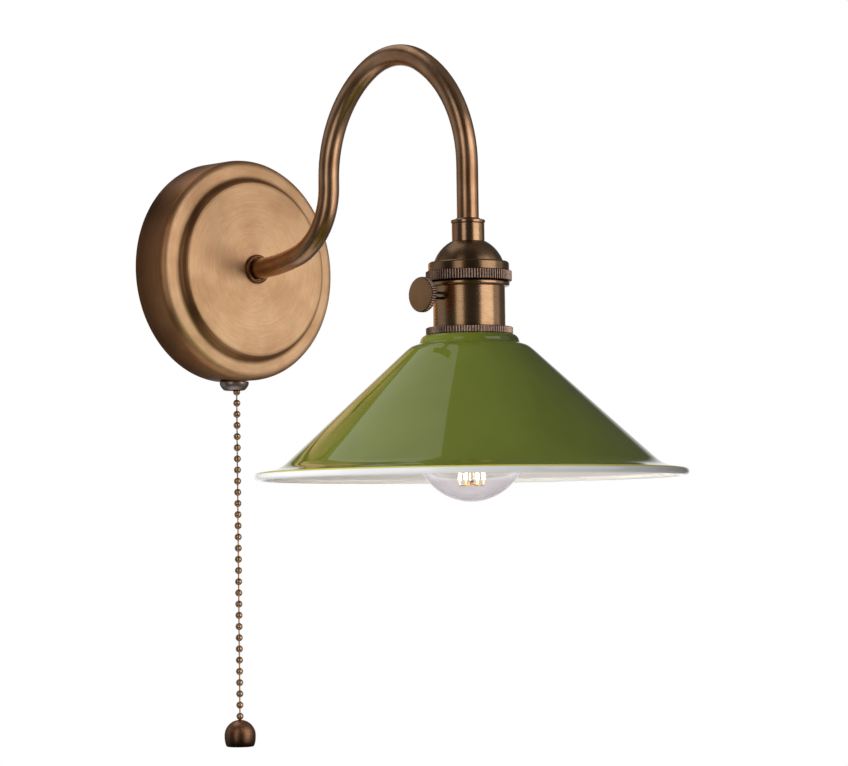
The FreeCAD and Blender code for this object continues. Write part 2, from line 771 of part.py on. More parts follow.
def ratchet_wheel():
    blank = rod(wheel_d / 2, Vector(0, 0, 0), Vector(0, 0, wheel_width))
    gap_mid_r = (wheel_d / 2 + wheel_root_d / 2) / 2
    gaps = []
    for n in range(wheel_teeth):
        angle = 360.0 * n / wheel_teeth
        half = math.pi * gap_mid_r / wheel_teeth - wheel_tooth / 2
        gap = box((wheel_root_d / 2, wheel_d), (-half, half), (-1, wheel_width + 1))
        gap.rotate(Vector(0, 0, 0), UP, angle)
        gaps.append(gap)
    wheel = blank.cut(gaps).cut(rod(axle_d / 2 + running_gap, Vector(0, 0, -1),
                                    Vector(0, 0, wheel_width + 1)))
    wheel.rotate(Vector(0, 0, 0), UP, -wheel_turn / 2)
    return placed(wheel, OUT, Vector(wheel_x, wheel_mid_y + wheel_width / 2, wheel_z))


def ratchet_axle():
    return rod(axle_d / 2, Vector(wheel_x, case_front_y + 0.5, wheel_z),
               Vector(wheel_x, case_back_y - 0.4, wheel_z))


def switch_contacts():
    return Part.makeCompound([box((x, x + contact_sheet), (wheel_mid_y - 2, wheel_mid_y + 2),
                                  (case_roof_z - contact_drop, case_roof_z)) for x in contact_xs])


def return_spring():
    return coil(spring_d / 2 - spring_wire / 2, spring_wire / 2, slider_top_z, case_roof_z,
                spring_turns, Vector(0, chain_y, 0))


nodes["switch_case"] = switch_case()
nodes["switch_cover"] = switch_cover()
nodes["switch_bushing"] = switch_bushing()
nodes["bell_nut"] = bell_nut()
nodes["pull_slider"] = pull_slider()
nodes["return_spring"] = return_spring()
nodes["ratchet_wheel"] = ratchet_wheel()
nodes["ratchet_axle"] = ratchet_axle()
nodes["switch_contacts"] = switch_contacts()


# ---------------------------------------------------------------- leads in the canopy
def contact_top(index):
    return (contact_xs[index] + contact_sheet / 2, wheel_mid_y, case_roof_z + 0.05)


def canopy_leads():
    exit_y = -flex_start_out
    earth_x, neutral_x, live_x = block_poles()
    inside_z = block_foot_z + 5
    turn_z = block_foot_z - lead_drop
    live = lead([(live_x, block_axis_y, inside_z), (live_x, block_axis_y, turn_z - 2),
                 (contact_xs[1] + contact_sheet / 2, wheel_mid_y, case_top_z + lead_rise + 2),
                 contact_top(1)],
                core_d / 2, lead_bend)
    switched = lead([(1.2, exit_y, 0), (1.2, exit_y + 6.5, 0), contact_side_turn(),
                     contact_top(0)], core_d / 2, lead_bend * 0.6)
    neutral = lead([(-1.2, exit_y, 0), (-1.2, exit_y + 6.5, 0), (neutral_x, block_axis_y, turn_z + 2),
                    (neutral_x, block_axis_y, inside_z)], core_d / 2, lead_bend * 0.6)
    eye_y = -bracket_sheet - core_d / 2
    earth = lead([(earth_screw_x, eye_y, bracket_screw_d / 2 + 0.2), (earth_screw_x, eye_y, turn_z - 2),
                  (earth_x, block_axis_y, turn_z + 4), (earth_x, block_axis_y, inside_z)],
                 core_d / 2, lead_bend * 0.6)
    return live, switched, neutral, earth


def contact_side_turn():
    x, y, _ = contact_top(0)
    return (x, y, case_top_z + lead_rise)


for name, shape in zip(("live_lead", "switched_core", "neutral_core", "earth_lead"),
                       canopy_leads()):
    nodes[name] = shape


# ---------------------------------------------------------------- pull chain
def bead(centre, pierced=True):
    ball = Part.makeSphere(bead_d / 2, centre)
    if not pierced:
        return ball
    hole = Vector(0, 0, bead_d)
    return ball.cut(rod(bead_bore_d / 2, centre - hole, centre + hole))


def link(upper_z, lower_z):
    return rod(link_d / 2, Vector(0, chain_y, upper_z), Vector(0, chain_y, lower_z))


def bead_z(index):
    """Height of a bead: 0 is the swing bead in the bell's mouth, and 1 hangs below it."""
    return first_bead_z - index * bead_pitch


link_bite = 0.5               # how far a link enters a bead
edge_z = bead_d / 2           # bead centre to its top or foot


def upper_chain():
    """Beads and links between the slider and the swing bead, each link biting its beads."""
    solids = [bead(Vector(0, chain_y, bead_z(-n))) for n in range(1, upper_beads + 1)]
    for n in range(1, upper_beads):
        solids.append(link(bead_z(-n - 1) - edge_z + link_bite, bead_z(-n) + edge_z - link_bite))
    solids.append(link(bead_z(-1) - edge_z + link_bite, bead_z(0) + edge_z + fit_gap))
    return Part.makeCompound(solids)


def chain_beads():
    return Part.makeCompound([bead(Vector(0, chain_y, bead_z(n)))
                              for n in range(1, hanging_beads + 1)])


def chain_links():
    links = [link(bead_z(0) - edge_z - fit_gap, bead_z(1) + edge_z - link_bite)]
    links += [link(bead_z(n) - edge_z + link_bite, bead_z(n + 1) + edge_z - link_bite)
              for n in range(1, hanging_beads)]
    last = bead_z(hanging_beads) - edge_z
    links.append(link(last + link_bite, last - 3.0))
    return Part.makeCompound(links)


def pull_ball():
    ball_r, flat_r = ball_d / 2, ball_flat_d / 2
    equator = -ball_r
    low = (ball_height + equator)
    middle_r = flat_r + (ball_r - flat_r) * 0.78
    body = turned([(0, 0), Mid((ball_r * math.sin(math.radians(45)),
                                equator + ball_r * math.cos(math.radians(45)))),
                   (ball_r, equator), Mid((middle_r, equator - low * 0.52)),
                   (flat_r, -ball_height + ball_round * 0.4),
                   (flat_r - ball_round, -ball_height), (0, -ball_height)],
                  UP, Vector(0, chain_y, ball_top_z))
    hole = rod(link_d / 2 + fit_gap, Vector(0, chain_y, ball_top_z + 1),
               Vector(0, chain_y, ball_top_z - 3.2))
    return body.cut(hole)


nodes["upper_chain"] = upper_chain()
nodes["swing_bead"] = bead(pivot, pierced=False)
nodes["chain_beads"] = chain_beads()
nodes["chain_links"] = chain_links()
nodes["pull_ball"] = pull_ball()


# ---------------------------------------------------------------- lampholder
def neck_collar():
    lip_r, body_r = collar_lip_d / 2, collar_d / 2
    bore_r, thread_r = tube_r + fit_gap, nipple_d / 2 + fit_gap
    lip_foot_z = collar_top_z - collar_lip_h
    return at_lamp(turned([
        (thread_r, collar_foot_z), (body_r, collar_foot_z), (body_r, lip_foot_z - 0.5),
        (body_r - 0.25, lip_foot_z), (lip_r, lip_foot_z), (lip_r, collar_top_z, 0.5),
        (bore_r + 1.6, collar_top_z), (bore_r + 0.4, collar_top_z + collar_step),
        (bore_r, collar_top_z + collar_step), (bore_r, arm_end_z), (thread_r, arm_end_z)]))


def sphere_r(z):
    """Radius of the cap's dome at a height."""
    return math.sqrt(cap_sphere_r ** 2 - (z - cap_sphere_z) ** 2)


def holder_cap():
    flange_r = cap_flange_d / 2
    mid_z = (collar_foot_z + cap_flange_z) / 2 + 1.4
    shell = spun_sheet([(0.01, collar_foot_z), (sphere_r(collar_foot_z), collar_foot_z),
                        Mid((sphere_r(mid_z), mid_z)), (sphere_r(cap_flange_z), cap_flange_z),
                        (flange_r, cap_flange_z, cap_round), (flange_r, cap_foot_z)],
                       -cap_sheet)
    hole = rod(nipple_d / 2 + fit_gap, Vector(0, 0, -5), Vector(0, 0, 5))
    return at_lamp(shell.cut(hole))


def cap_ring():
    neck_r = shell_neck_d / 2
    return at_lamp(knurled_ring(neck_r + cap_ring_wall, neck_r + fit_gap, knurl_teeth,
                                cap_ring_foot_z, cap_foot_z))


def holder_shell():
    neck_r, bead_r, body_r = shell_neck_d / 2, shell_bead_d / 2, shell_d / 2
    bead_mid_z = (cap_ring_foot_z + shell_bead_foot_z) / 2
    inner_neck, inner_body = neck_r - shell_sheet, body_r - shell_sheet
    shell = turned([(inner_neck, shell_top_z), (neck_r, shell_top_z), (neck_r, cap_ring_foot_z),
                    (bead_r - 0.9, cap_ring_foot_z), Mid((bead_r, bead_mid_z)),
                    (bead_r - 0.9, shell_bead_foot_z), (body_r, shell_bead_foot_z),
                    (body_r, shell_foot_z), (inner_body, shell_foot_z),
                    (inner_body, bead_mid_z), (inner_neck, bead_mid_z)])
    key_hole = rod(key_shaft_d / 2 + loose_gap, Vector(0, 0, key_z), Vector(-shell_d, 0, key_z))
    return at_lamp(shell.cut(key_hole))


def shade_ring():
    return at_lamp(knurled_ring(shade_ring_d / 2, shell_d / 2 + fit_gap, knurl_teeth,
                                shade_top_z, shade_ring_top_z))


def shade_clamp():
    """Plain ring inside the shade: it clamps the shade against the knurled ring above."""
    top = shade_top_z - shade_sheet
    outer, inner = shade_clamp_d / 2, shell_d / 2 + fit_gap
    return at_lamp(turned([(inner, top), (outer, top), (outer, top - shade_clamp_h, 0.8),
                           (inner, top - shade_clamp_h)]))


def shade():
    hole_r = shade_hole_d / 2
    bead_r = shade_bead_d / 2
    corner_rounds = (2.2, 1.2, 1.6, 2.4)
    corners = [point + (size,) for point, size in
               zip(shade_collar[1:] + shade_shoulder, corner_rounds)]
    skin = spun_sheet([(hole_r, shade_top_z), shade_collar[0] + (1.0,)] + corners
                      + [(shade_rim_r - shade_cone_inset, shade_cone_foot_z, 5.0),
                         (shade_rim_r - shade_lip_inset, shade_lip_foot_z)], -shade_sheet)
    bead_z_mid = shade_lip_foot_z - bead_r
    rim = turned([(shade_rim_r - 2 * bead_r, bead_z_mid), Mid((shade_rim_r - bead_r,
                                                              bead_z_mid + bead_r)),
                  (shade_rim_r, bead_z_mid), Mid((shade_rim_r - bead_r, bead_z_mid - bead_r))])
    return at_lamp(skin.fuse(rim).removeSplitter())


nodes["neck_collar"] = neck_collar()
nodes["holder_cap"] = holder_cap()
nodes["cap_ring"] = cap_ring()
nodes["holder_shell"] = holder_shell()
nodes["shade_ring"] = shade_ring()
nodes["shade_clamp"] = shade_clamp()
nodes["shade"] = shade()

# ---------------------------------------------------------------- lampholder insides
liner_r = shell_d / 2 - shell_sheet - fit_gap
cup_r = screw_shell_d / 2 + fit_gap
shaft_r = key_shaft_d / 2


def left_shaft_hole(gap):
    return rod(shaft_r + gap, Vector(0, 0, key_z), Vector(-shell_d, 0, key_z))


def holder_liner():
    sleeve = ring(liner_r, liner_r - liner_sheet, Vector(0, 0, shell_foot_z),
                  Vector(0, 0, core_split_z - 2))
    return at_lamp(sleeve.cut(left_shaft_hole(loose_gap)))


def holder_core():
    """Porcelain body: switch chamber above, lamp cup below."""
    body = rod(core_r, Vector(0, 0, core_foot_z), Vector(0, 0, core_split_z))
    cuts = [box((-chamber_half_x, chamber_half_x), (-chamber_half_y, chamber_half_y),
                (chamber_floor_z, core_split_z + 1)),
            rod(cup_r, Vector(0, 0, core_foot_z - 1), Vector(0, 0, lamp_cup_top_z)),
            rod(shaft_r + running_gap, Vector(chamber_half_x + 3, 0, key_z),
                Vector(-core_d_out, 0, key_z))]
    cuts += [rod(cover_screw_d / 2 + fit_gap,
                 Vector(0, side * cover_screw_y, core_cover_top_z - cover_screw_length - 2.0),
                 Vector(0, side * cover_screw_y, core_split_z + 1)) for side in (-1, 1)]
    return at_lamp(body.cut(cuts))


def core_cover():
    disc = rod(core_r, Vector(0, 0, core_split_z), Vector(0, 0, core_cover_top_z))
    holes = [rod(cover_screw_d / 2 + fit_gap, Vector(0, side * cover_screw_y, core_split_z - 1),
                 Vector(0, side * cover_screw_y, core_cover_top_z + 1)) for side in (-1, 1)]
    holes += [rod(core_d / 2 + fit_gap, Vector(side * cover_lead_x, 0, core_split_z - 1),
                  Vector(side * cover_lead_x, 0, core_cover_top_z + 1)) for side in (-1, 1)]
    return at_lamp(disc.cut(holes))


def cover_screws():
    return Part.makeCompound([
        slotted_screw(cover_screw_d, cover_screw_length, cover_screw_head_d, cover_screw_head_h,
                      lamp_axis + Vector(0, side * cover_screw_y, core_cover_top_z), UP)
        for side in (-1, 1)])


def holder_leads():
    """The flex's two cores, from its end down through the cover to the contacts."""
    leads = []
    for side in (-1, 1):
        leads.append(lead([(side * flex_core_x, -lamp_out, flex_end_z),
                           (side * flex_core_x, -lamp_out, flex_end_z - flex_core_straight),
                           (side * cover_lead_x, -lamp_out, core_cover_top_z + cover_lead_rise),
                           (side * cover_lead_x, -lamp_out, core_split_z)], core_d / 2, 1.3))
    return Part.makeCompound(leads)


def lamp_screw_shell():
    outer = screw_shell_d / 2
    return at_lamp(ring(outer, outer - screw_shell_sheet, Vector(0, 0, core_foot_z + 1),
                        Vector(0, 0, screw_shell_top_z)))


def centre_contact():
    top = lamp_cup_top_z
    leaf = box((-centre_leaf_length / 2, centre_leaf_length / 2),
               (-centre_leaf_width / 2, centre_leaf_width / 2), (top - centre_leaf, top))
    return at_lamp(leaf)


def key_shaft():
    knob_back = key_knob_face - key_knob_h
    return rod(shaft_r, key_axis + LEFT * (knob_back + 1.5), key_axis + RIGHT * (chamber_half_x + 2.8))


def key_knob():
    """Coin-shaped knob with a knurled edge and a hub that the shaft is pressed into."""
    knob_r, hub_r = key_knob_d / 2, key_hub_d / 2
    disc = knurled_ring(knob_r, 0, key_teeth, 0, key_knob_h, 0.5)
    edge = key_knob_round
    blank = turned([(0, 0), (knob_r - edge, 0), (knob_r, edge), (knob_r, key_knob_h - edge),
                    (knob_r - edge, key_knob_h), Mid((knob_r * 0.5, key_knob_h + 0.25)),
                    (0, key_knob_h + 0.35)])
    crown = turned([(0, key_knob_h), (knob_r - edge - 0.4, key_knob_h),
                    Mid((knob_r * 0.5, key_knob_h + 0.25)), (0, key_knob_h + 0.35)])
    disc = disc.common(blank).fuse(crown)
    hub = turned([(0, -key_hub_h), (hub_r - 0.4, -key_hub_h), (hub_r, -key_hub_h + 0.4),
                  (hub_r, 0), (0, 0)])
    socket = rod(shaft_r + 0.02, Vector(0, 0, -key_hub_h - 1), Vector(0, 0, 1.5))
    knob = disc.fuse(hub).removeSplitter().cut(socket)
    return placed(knob, LEFT, key_axis + LEFT * (key_knob_face - key_knob_h))


def key_rotor():
    """Insulating cam: a drum with two flats, pinned on the shaft."""
    half = key_rotor_length / 2
    drum = rod(key_rotor_d / 2, key_axis + LEFT * half, key_axis + RIGHT * half)
    slab = box((-half, half), (-lamp_out - key_rotor_flat, -lamp_out + key_rotor_flat),
               (key_z - key_rotor_d, key_z + key_rotor_d))
    return drum.common(slab).cut(rod(shaft_r + 0.02, key_axis + LEFT * half * 2,
                                     key_axis + RIGHT * half * 2))


def key_contacts():
    """Two brass leaves on the chamber's walls, one on each side of the rotor."""
    leaves = []
    for side in (-1, 1):
        outer, inner = side * chamber_half_y, side * (chamber_half_y - key_contact_sheet)
        leaves.append(box((-5, 5), (-lamp_out + outer, -lamp_out + inner),
                          (chamber_floor_z, core_split_z)))
    return Part.makeCompound(leaves)


nodes["holder_liner"] = holder_liner()
nodes["holder_core"] = holder_core()
nodes["core_cover"] = core_cover()
nodes["cover_screws"] = cover_screws()
nodes["holder_leads"] = holder_leads()
nodes["lamp_screw_shell"] = lamp_screw_shell()
nodes["centre_contact"] = centre_contact()
nodes["key_shaft"] = key_shaft()
nodes["key_knob"] = key_knob()
nodes["key_rotor"] = key_rotor()
nodes["key_contacts"] = key_contacts()

# ---------------------------------------------------------------- bulb
bulb_centre_z = bulb_foot_z + bulb_r
bulb_insulator_top = bulb_tip_z - bulb_tip_h
bulb_cap_top = bulb_insulator_top - bulb_insulator_h
bulb_cap_foot = bulb_cap_top - bulb_cap_length


def bulb_glass():
    """Globe, straight flank and rounded neck; the glass is open inside the cap."""
    lean = math.radians(bulb_shoulder_angle)
    tangent = Vector(bulb_r * math.cos(lean), 0, bulb_centre_z + bulb_r * math.sin(lean))
    rise = (tangent.x - bulb_neck_r) / math.tan(lean)
    neck_z = tangent.z + rise
    reach = 0.92
    course = [(0.01, bulb_foot_z), Mid((bulb_r * reach, bulb_centre_z - bulb_r
                                        * math.sqrt(1 - reach ** 2))),
              (tangent.x, tangent.z), (bulb_neck_r, neck_z, bulb_neck_round),
              (bulb_neck_r, bulb_cap_foot + 6.0)]
    return at_lamp(spun_sheet(course, bulb_glass_sheet))


def bulb_cap():
    outer, sheet = bulb_cap_r, 0.35
    shell = turned([(4.5, bulb_cap_top), (outer - 2.0, bulb_cap_top), (outer, bulb_cap_top - 2.0),
                    (outer, bulb_cap_foot), (outer - sheet, bulb_cap_foot),
                    (outer - sheet, bulb_cap_top - 2.2), (outer - 2.2, bulb_cap_top - sheet),
                    (4.5, bulb_cap_top - sheet)])
    return at_lamp(shell)


def bulb_insulator():
    return at_lamp(turned([(0, bulb_cap_top), (9.0, bulb_cap_top), (4.8, bulb_insulator_top),
                           (0, bulb_insulator_top)]))


def bulb_tip():
    return at_lamp(turned([(0, bulb_insulator_top), (4.6, bulb_insulator_top),
                           (3.8, bulb_tip_z - 0.2), (3.0, bulb_tip_z), (0, bulb_tip_z)]))


def filament_ends(index):
    angle = math.radians(360.0 * index / filament_count + 20.0)
    way = Vector(math.cos(angle), math.sin(angle), 0)
    return (lamp_axis + way * filament_foot_r + Vector(0, 0, filament_foot_z),
            lamp_axis + way * filament_head_r + Vector(0, 0, filament_foot_z + filament_length))


stem_foot_z = filament_foot_z + 1.5


def bulb_stem():
    """Glass foot that closes the neck, drawn out to the post that holds the filaments."""
    stem_r = stem_d / 2
    top = bulb_cap_foot + 5.0
    flare_r = bulb_neck_r - bulb_glass_sheet - fit_gap
    return at_lamp(turned([(0, top), (flare_r, top), (flare_r, top - 1.2),
                           (stem_r + 1.0, top - 4.0), (stem_r, top - stem_length),
                           (1.5, top - stem_length - stem_taper),
                           (1.2, stem_foot_z), (0, stem_foot_z)]))


def bulb_filaments():
    return Part.makeCompound([rod(filament_d / 2, *filament_ends(n))
                              for n in range(filament_count)])


def bulb_wires():
    """Star of wires at the foot of the filaments, and the wires that hold their heads."""
    wires = []
    post = lamp_axis + Vector(0, 0, stem_foot_z)
    for n in range(filament_count):
        foot, head = filament_ends(n)
        wires.append(rod(wire_d / 2, post + DOWN * 0.9, foot + DOWN * 0.5))
        spot = lamp_axis + Vector(0, 0, head.z + 5.0)
        inward = (head - Vector(lamp_axis.x, lamp_axis.y, head.z)).normalize()
        wires.append(rod(wire_d / 2, head + UP * 0.4, spot + inward * (stem_d / 2 - 0.6)))
    hub = rod(1.0, post + DOWN * 1.6, post)
    return Part.makeCompound([hub.fuse(wires[0::2])] + wires[1::2])


nodes["bulb_glass"] = bulb_glass()
nodes["bulb_cap"] = bulb_cap()
nodes["bulb_insulator"] = bulb_insulator()
nodes["bulb_tip"] = bulb_tip()
nodes["bulb_stem"] = bulb_stem()
nodes["bulb_filaments"] = bulb_filaments()
nodes["bulb_wires"] = bulb_wires()

# ---------------------------------------------------------------- write
for name, shape in nodes.items():
    shape.exportStep("parts/" + name + ".step")
    print(name, len(shape.Solids), shape.isValid(), round(shape.Volume, 1))
print("lamp axis", round(lamp_out, 2), "nodes", len(nodes))
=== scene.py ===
import math

import bmesh
import bpy
from mathutils import Matrix, Vector

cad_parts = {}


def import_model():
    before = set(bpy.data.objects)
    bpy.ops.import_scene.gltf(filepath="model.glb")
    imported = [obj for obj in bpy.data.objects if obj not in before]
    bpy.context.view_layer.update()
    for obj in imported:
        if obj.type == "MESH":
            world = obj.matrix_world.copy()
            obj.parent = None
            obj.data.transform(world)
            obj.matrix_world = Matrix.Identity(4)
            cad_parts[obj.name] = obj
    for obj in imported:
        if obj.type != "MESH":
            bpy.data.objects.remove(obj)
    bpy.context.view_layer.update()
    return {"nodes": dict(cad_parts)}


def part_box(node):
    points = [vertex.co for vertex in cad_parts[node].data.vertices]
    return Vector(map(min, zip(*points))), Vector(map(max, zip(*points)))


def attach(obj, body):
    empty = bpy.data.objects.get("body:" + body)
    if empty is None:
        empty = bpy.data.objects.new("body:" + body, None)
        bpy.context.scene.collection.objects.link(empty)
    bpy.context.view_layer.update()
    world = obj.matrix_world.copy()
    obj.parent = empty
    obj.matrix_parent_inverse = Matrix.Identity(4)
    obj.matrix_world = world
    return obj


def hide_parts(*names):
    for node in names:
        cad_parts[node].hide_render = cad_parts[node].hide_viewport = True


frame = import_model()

# Gooseneck wall light: the visible skin and finishes over the CAD frame.
# Sizes are in millimetres and angles in degrees until a helper turns them into metres.
# The wall is the plane y = 0, the room lies towards -Y, and +Z is up.

MM = 0.001
X, Y, Z = "X", "Y", "Z"
ACROSS = {X: (Y, Z), Y: (X, Z), Z: (X, Y)}   # the two axes across each axis
ORIGIN = Vector((0, 0, 0))


def span(node):
    """Low and high corner of a CAD node, in millimetres."""
    low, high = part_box(node)
    return low / MM, high / MM


def middle(node):
    low, high = span(node)
    return (low + high) / 2


# ---------------- sizes
CANOPY_R = span("canopy")[1].x
CANOPY_DEPTH = 24.0
CANOPY_SHEET = 1.2
DISC_FRONT = -span("canopy")[0].y          # raised disc, distance from the wall
DISC_FRONT_R = 47.7
DISC_FOOT_R = 48.8
CANOPY_EDGE_ROUND = 4.5
DISC_FOOT_ROUND = 2.6
DISC_EDGE_ROUND = 1.0

ARM_HOLE_R = 5.2
TUBE_R = 5.53
TUBE_WALL = 1.03
# the arm's centreline leaves the disc level: (radius, turn), + bends up, and a straight riser
ARM_ROOT = [(129.6, 15.27), (35.75, 74.73)]
ARM_RISER = 4.14
ARM_ARCH = [(61.43, -62.94), (41.68, -56.35), (65.49, -60.71)]
ARM_STEP = 4.0                             # degrees of bend to a ring of faces
FERRULE_R = 7.9
FERRULE_BORE_R = 6.0
FERRULE_HEIGHT = 2.2

LAMP = middle("shade_ring")                # its x and y are the lamp's axis
LAMP_AXIS = Vector((LAMP.x, LAMP.y, 0))
SEAT_GAP = 0.1                             # between a ring and what it sits on

COLLAR_R = 8.25
COLLAR_LIP_R = 8.65
COLLAR_TOP = 12.3
COLLAR_LIP = 1.7
COLLAR_FOOT = 1.2
COLLAR_STEP = 0.8
DOME_R = 18.44
DOME_CENTRE = -14.8
DOME_STEPS = 14
FLANGE_R = 20.4
FLANGE_TOP = -9.0
FLANGE_FOOT = -13.6
CAP_SHEET = 0.8
CAP_HOLE_R = 5.0
KNURL_TEETH = 96
KNURL_DEPTH = 0.45
KNURL_EDGE = 0.35
CAP_RING_R = 21.7
CAP_RING_FOOT = -18.9
SHELL_TOP = -11.0
SHELL_NECK_R = 19.2
SHELL_BEAD_R = 20.6
SHELL_BEAD_FOOT = -21.6
SHELL_R = 18.15
SHELL_FOOT = -60.0
SHELL_SHEET = 0.8
SHADE_RING_R = 21.9
SHADE_RING_TOP = -42.0
SHADE_TOP = -45.6

KEY_HEIGHT = -26.8
KNOB_R = 8.85
KNOB_THICK = 3.3
KNOB_FACE = 33.5
KNOB_CROWN = 0.35
KNOB_CROWN_RINGS = (0.82, 0.66, 0.5, 0.34, 0.18, 0.06)   # shares of the knob's radius
KNOB_TEETH = 42
KNOB_TOOTH = 0.5
KNOB_EDGE = 0.55
HUB_R = 2.7
HUB_LENGTH = 2.0
HUB_BORE_R = 1.7
KEY_SHAFT_R = 2.0
KEY_CENTRE = Vector((0, LAMP.y, KEY_HEIGHT))

SHADE_HOLE_R = 18.5
SHADE_SHEET = 1.0
SHADE_RIM_R = 109.0
SHADE_BEAD_R = 1.95
# outer skin of the shade from its hole to its lip: (radius, height, round)
SHADE_SKIN = [(SHADE_HOLE_R, SHADE_TOP, 0), (22.6, SHADE_TOP, 1.0), (24.5, -47.2, 1.0),
              (25.3, -50.0, 0.9), (29.3, -51.2, 1.4), (32.1, -53.4, 1.6), (95.9, -111.9, 4.0)]
SHADE_NECK_INSIDE = [(24.5, -50.9), (23.6, -49.6), (22.4, -46.9),
                     (SHADE_HOLE_R, SHADE_TOP - SHADE_SHEET)]
SHADE_LIP = (106.4, -113.9)

BULB_R = 28.0
BULB_FOOT = -129.5
BULB_NECK_R = 12.4
BULB_FLANK = 32                            # angle of the flank to the lamp's axis
BULB_NECK_ROUND = 24.0
BULB_GLASS = 0.9
BULB_FILM_EDGE = (10.0, 13.5)              # above the foot, where the film fades out
BULB_TOP = -54.5                           # the glass ends inside the bulb's cap
FILAMENT_R = 0.9
FILAMENTS = 4
FILAMENT_FOOT = (6.8, -121.0)              # (radius, height) of its two ends
FILAMENT_HEAD = (4.6, -87.0)
FILAMENT_TURN = 20.0
FILAMENT_TAB = 2.4                         # the unlit tab at each strip's foot
FILAMENT_TAB_R = 0.45

CHAIN_Y = middle("swing_bead").y
BEAD_R = 1.95
BEAD_PITCH = 6.07
BEAD_PIT = 0.5                             # depth of the pits that the links enter
LINK_R = 0.4
LINK_BITE = 0.45                           # how far a link enters a bead
SWING_BEAD = middle("swing_bead").z
HANGING_BEADS = 29
UPPER_BEADS = 4
BALL_R = 8.5
BALL_FLAT_R = 6.9
BALL_HEIGHT = 14.6
BALL_PIT = 1.2                             # depth of the countersink for the last link
BELL_AXIS_Y = middle("bell_nut").y
BELL_TOP = span("bell_nut")[1].z
BELL_TOP_R = 7.95
BELL_MOUTH_R = 5.5
BELL_BORE_R = 5.0
BELL_LIP = 0.9
BELL_HEIGHT = 4.8
BELL_BAND = 0.72
BELL_SEAT = (1.4, 2.0)                     # above the mouth, where its hole widens to the bore


# ---------------- modelling by hand
AXIS_TURN = {X: (0, math.pi / 2, 0), Y: (math.pi / 2, 0, 0), Z: (0, 0, 0)}
SAME_PLACE = 0.004                         # within this a corner lies on a ring
ROD_ROUND = 0.35                           # on a rod's ends, as a share of its radius


def along(axis, amount):
    way = Vector((0, 0, 0))
    way["XYZ".index(axis)] = amount
    return way


def from_axis(point, axis, centre):
    """Distance of a point from an axis through centre, and its place along it."""
    offset = point - centre
    place = offset["XYZ".index(axis)]
    return (offset - along(axis, place)).length, place


def select_only(*pieces):
    """Selects these pieces and nothing else, the first of them active."""
    bpy.ops.object.select_all(action="DESELECT")
    for piece in pieces:
        piece.select_set(True)
        bpy.context.view_layer.objects.active = pieces[0]


def open_piece(piece):
    select_only(piece)
    bpy.ops.object.mode_set(mode="EDIT")
    bpy.ops.mesh.select_mode(type="VERT")


def pick(piece, test, kind="VERT"):
    """Selects the vertices, edges or faces of the open piece that pass the test; counts them."""
    bpy.ops.mesh.select_mode(type=kind)
    bpy.ops.mesh.select_all(action="DESELECT")
    shape = bmesh.from_edit_mesh(piece.data)
    found = [part for part in {"VERT": shape.verts, "EDGE": shape.edges, "FACE": shape.faces}[kind]
             if test(part)]
    for part in found:
        part.select = True
    shape.select_flush_mode()
    bmesh.update_edit_mesh(piece.data)
    return len(found)


def pick_rings(piece, axis, centre, *rings):
    """Selects the edges of rings round an axis, each given as (radius, place along the axis)."""
    def on_ring(edge):
        spots = [from_axis(corner.co / MM, axis, centre) for corner in edge.verts]
        return any(all(abs(r - radius) < SAME_PLACE and abs(p - place) < SAME_PLACE
                       for r, p in spots) for radius, place in rings)
    return pick(piece, on_ring, "EDGE")


def new_primitive(name, add, **settings):
    """Adds one primitive with its place and turn already in its mesh, and opens it."""
    select_only()
    add(**settings)
    piece = bpy.context.object
    piece.name = piece.data.name = name
    bpy.ops.object.transform_apply(location=True, rotation=True, scale=True)
    open_piece(piece)
    bpy.ops.mesh.select_all(action="SELECT")
    return piece


def draw_out(axis, amount):
    bpy.ops.mesh.extrude_region_move(TRANSFORM_OT_translate={"value": along(axis, amount * MM)})


def resize_round(axis, share, centre):
    """Scales the selection towards an axis through a centre, and not along it."""
    grow = [share] * 3
    grow["XYZ".index(axis)] = 1
    bpy.ops.transform.resize(value=grow, center_override=centre * MM)


def arc_rings(out, height, radius, degrees, tall=None):
    """Rings on an arc about (out, height), at angles from straight up to outwards.

    With tall, its upright radius, the arc is a part of an ellipse.
    """
    return [(out + radius * math.sin(math.radians(a)),
             height + (tall or radius) * math.cos(math.radians(a))) for a in degrees]


def turned(name, rings, axis=Z, centre=LAMP_AXIS, sides=128, ends="open", steps=4):
    """A piece as a lathe makes it, drawn out ring by ring: (radius, place along the axis, round).

    A radius of 0 at the end closes to a pole. ends: "open", "flat" or "loop", which joins
    the last ring to the first.
    """
    rings = [ring if len(ring) == 3 else ring + (0,) for ring in rings]
    if rings[0][0] == 0:
        rings.reverse()
    radius, place, _ = rings[0]
    piece = new_primitive(name, bpy.ops.mesh.primitive_circle_add, vertices=sides,
                          radius=radius * MM, location=(centre + along(axis, place)) * MM,
                          rotation=AXIS_TURN[axis])
    for (radius, place, _), (next_radius, next_place, _) in zip(rings, rings[1:]):
        draw_out(axis, next_place - place)
        if next_radius == 0:
            bpy.ops.mesh.merge(type="CENTER")
            continue
        resize_round(axis, next_radius / radius, centre + along(axis, next_place))
    first, last = rings[0][:2], rings[-1][:2]
    if ends == "loop":
        pick_rings(piece, axis, centre, first, last)
        bpy.ops.mesh.bridge_edge_loops()
    if ends == "flat":
        for end in (first, last):
            pick_rings(piece, axis, centre, end)
            bpy.ops.mesh.edge_face_add()
    for radius, place, size in rings:
        if size and pick_rings(piece, axis, centre, (radius, place)):
            bpy.ops.mesh.bevel(offset=size * MM, segments=steps, affect="EDGES")
    return piece


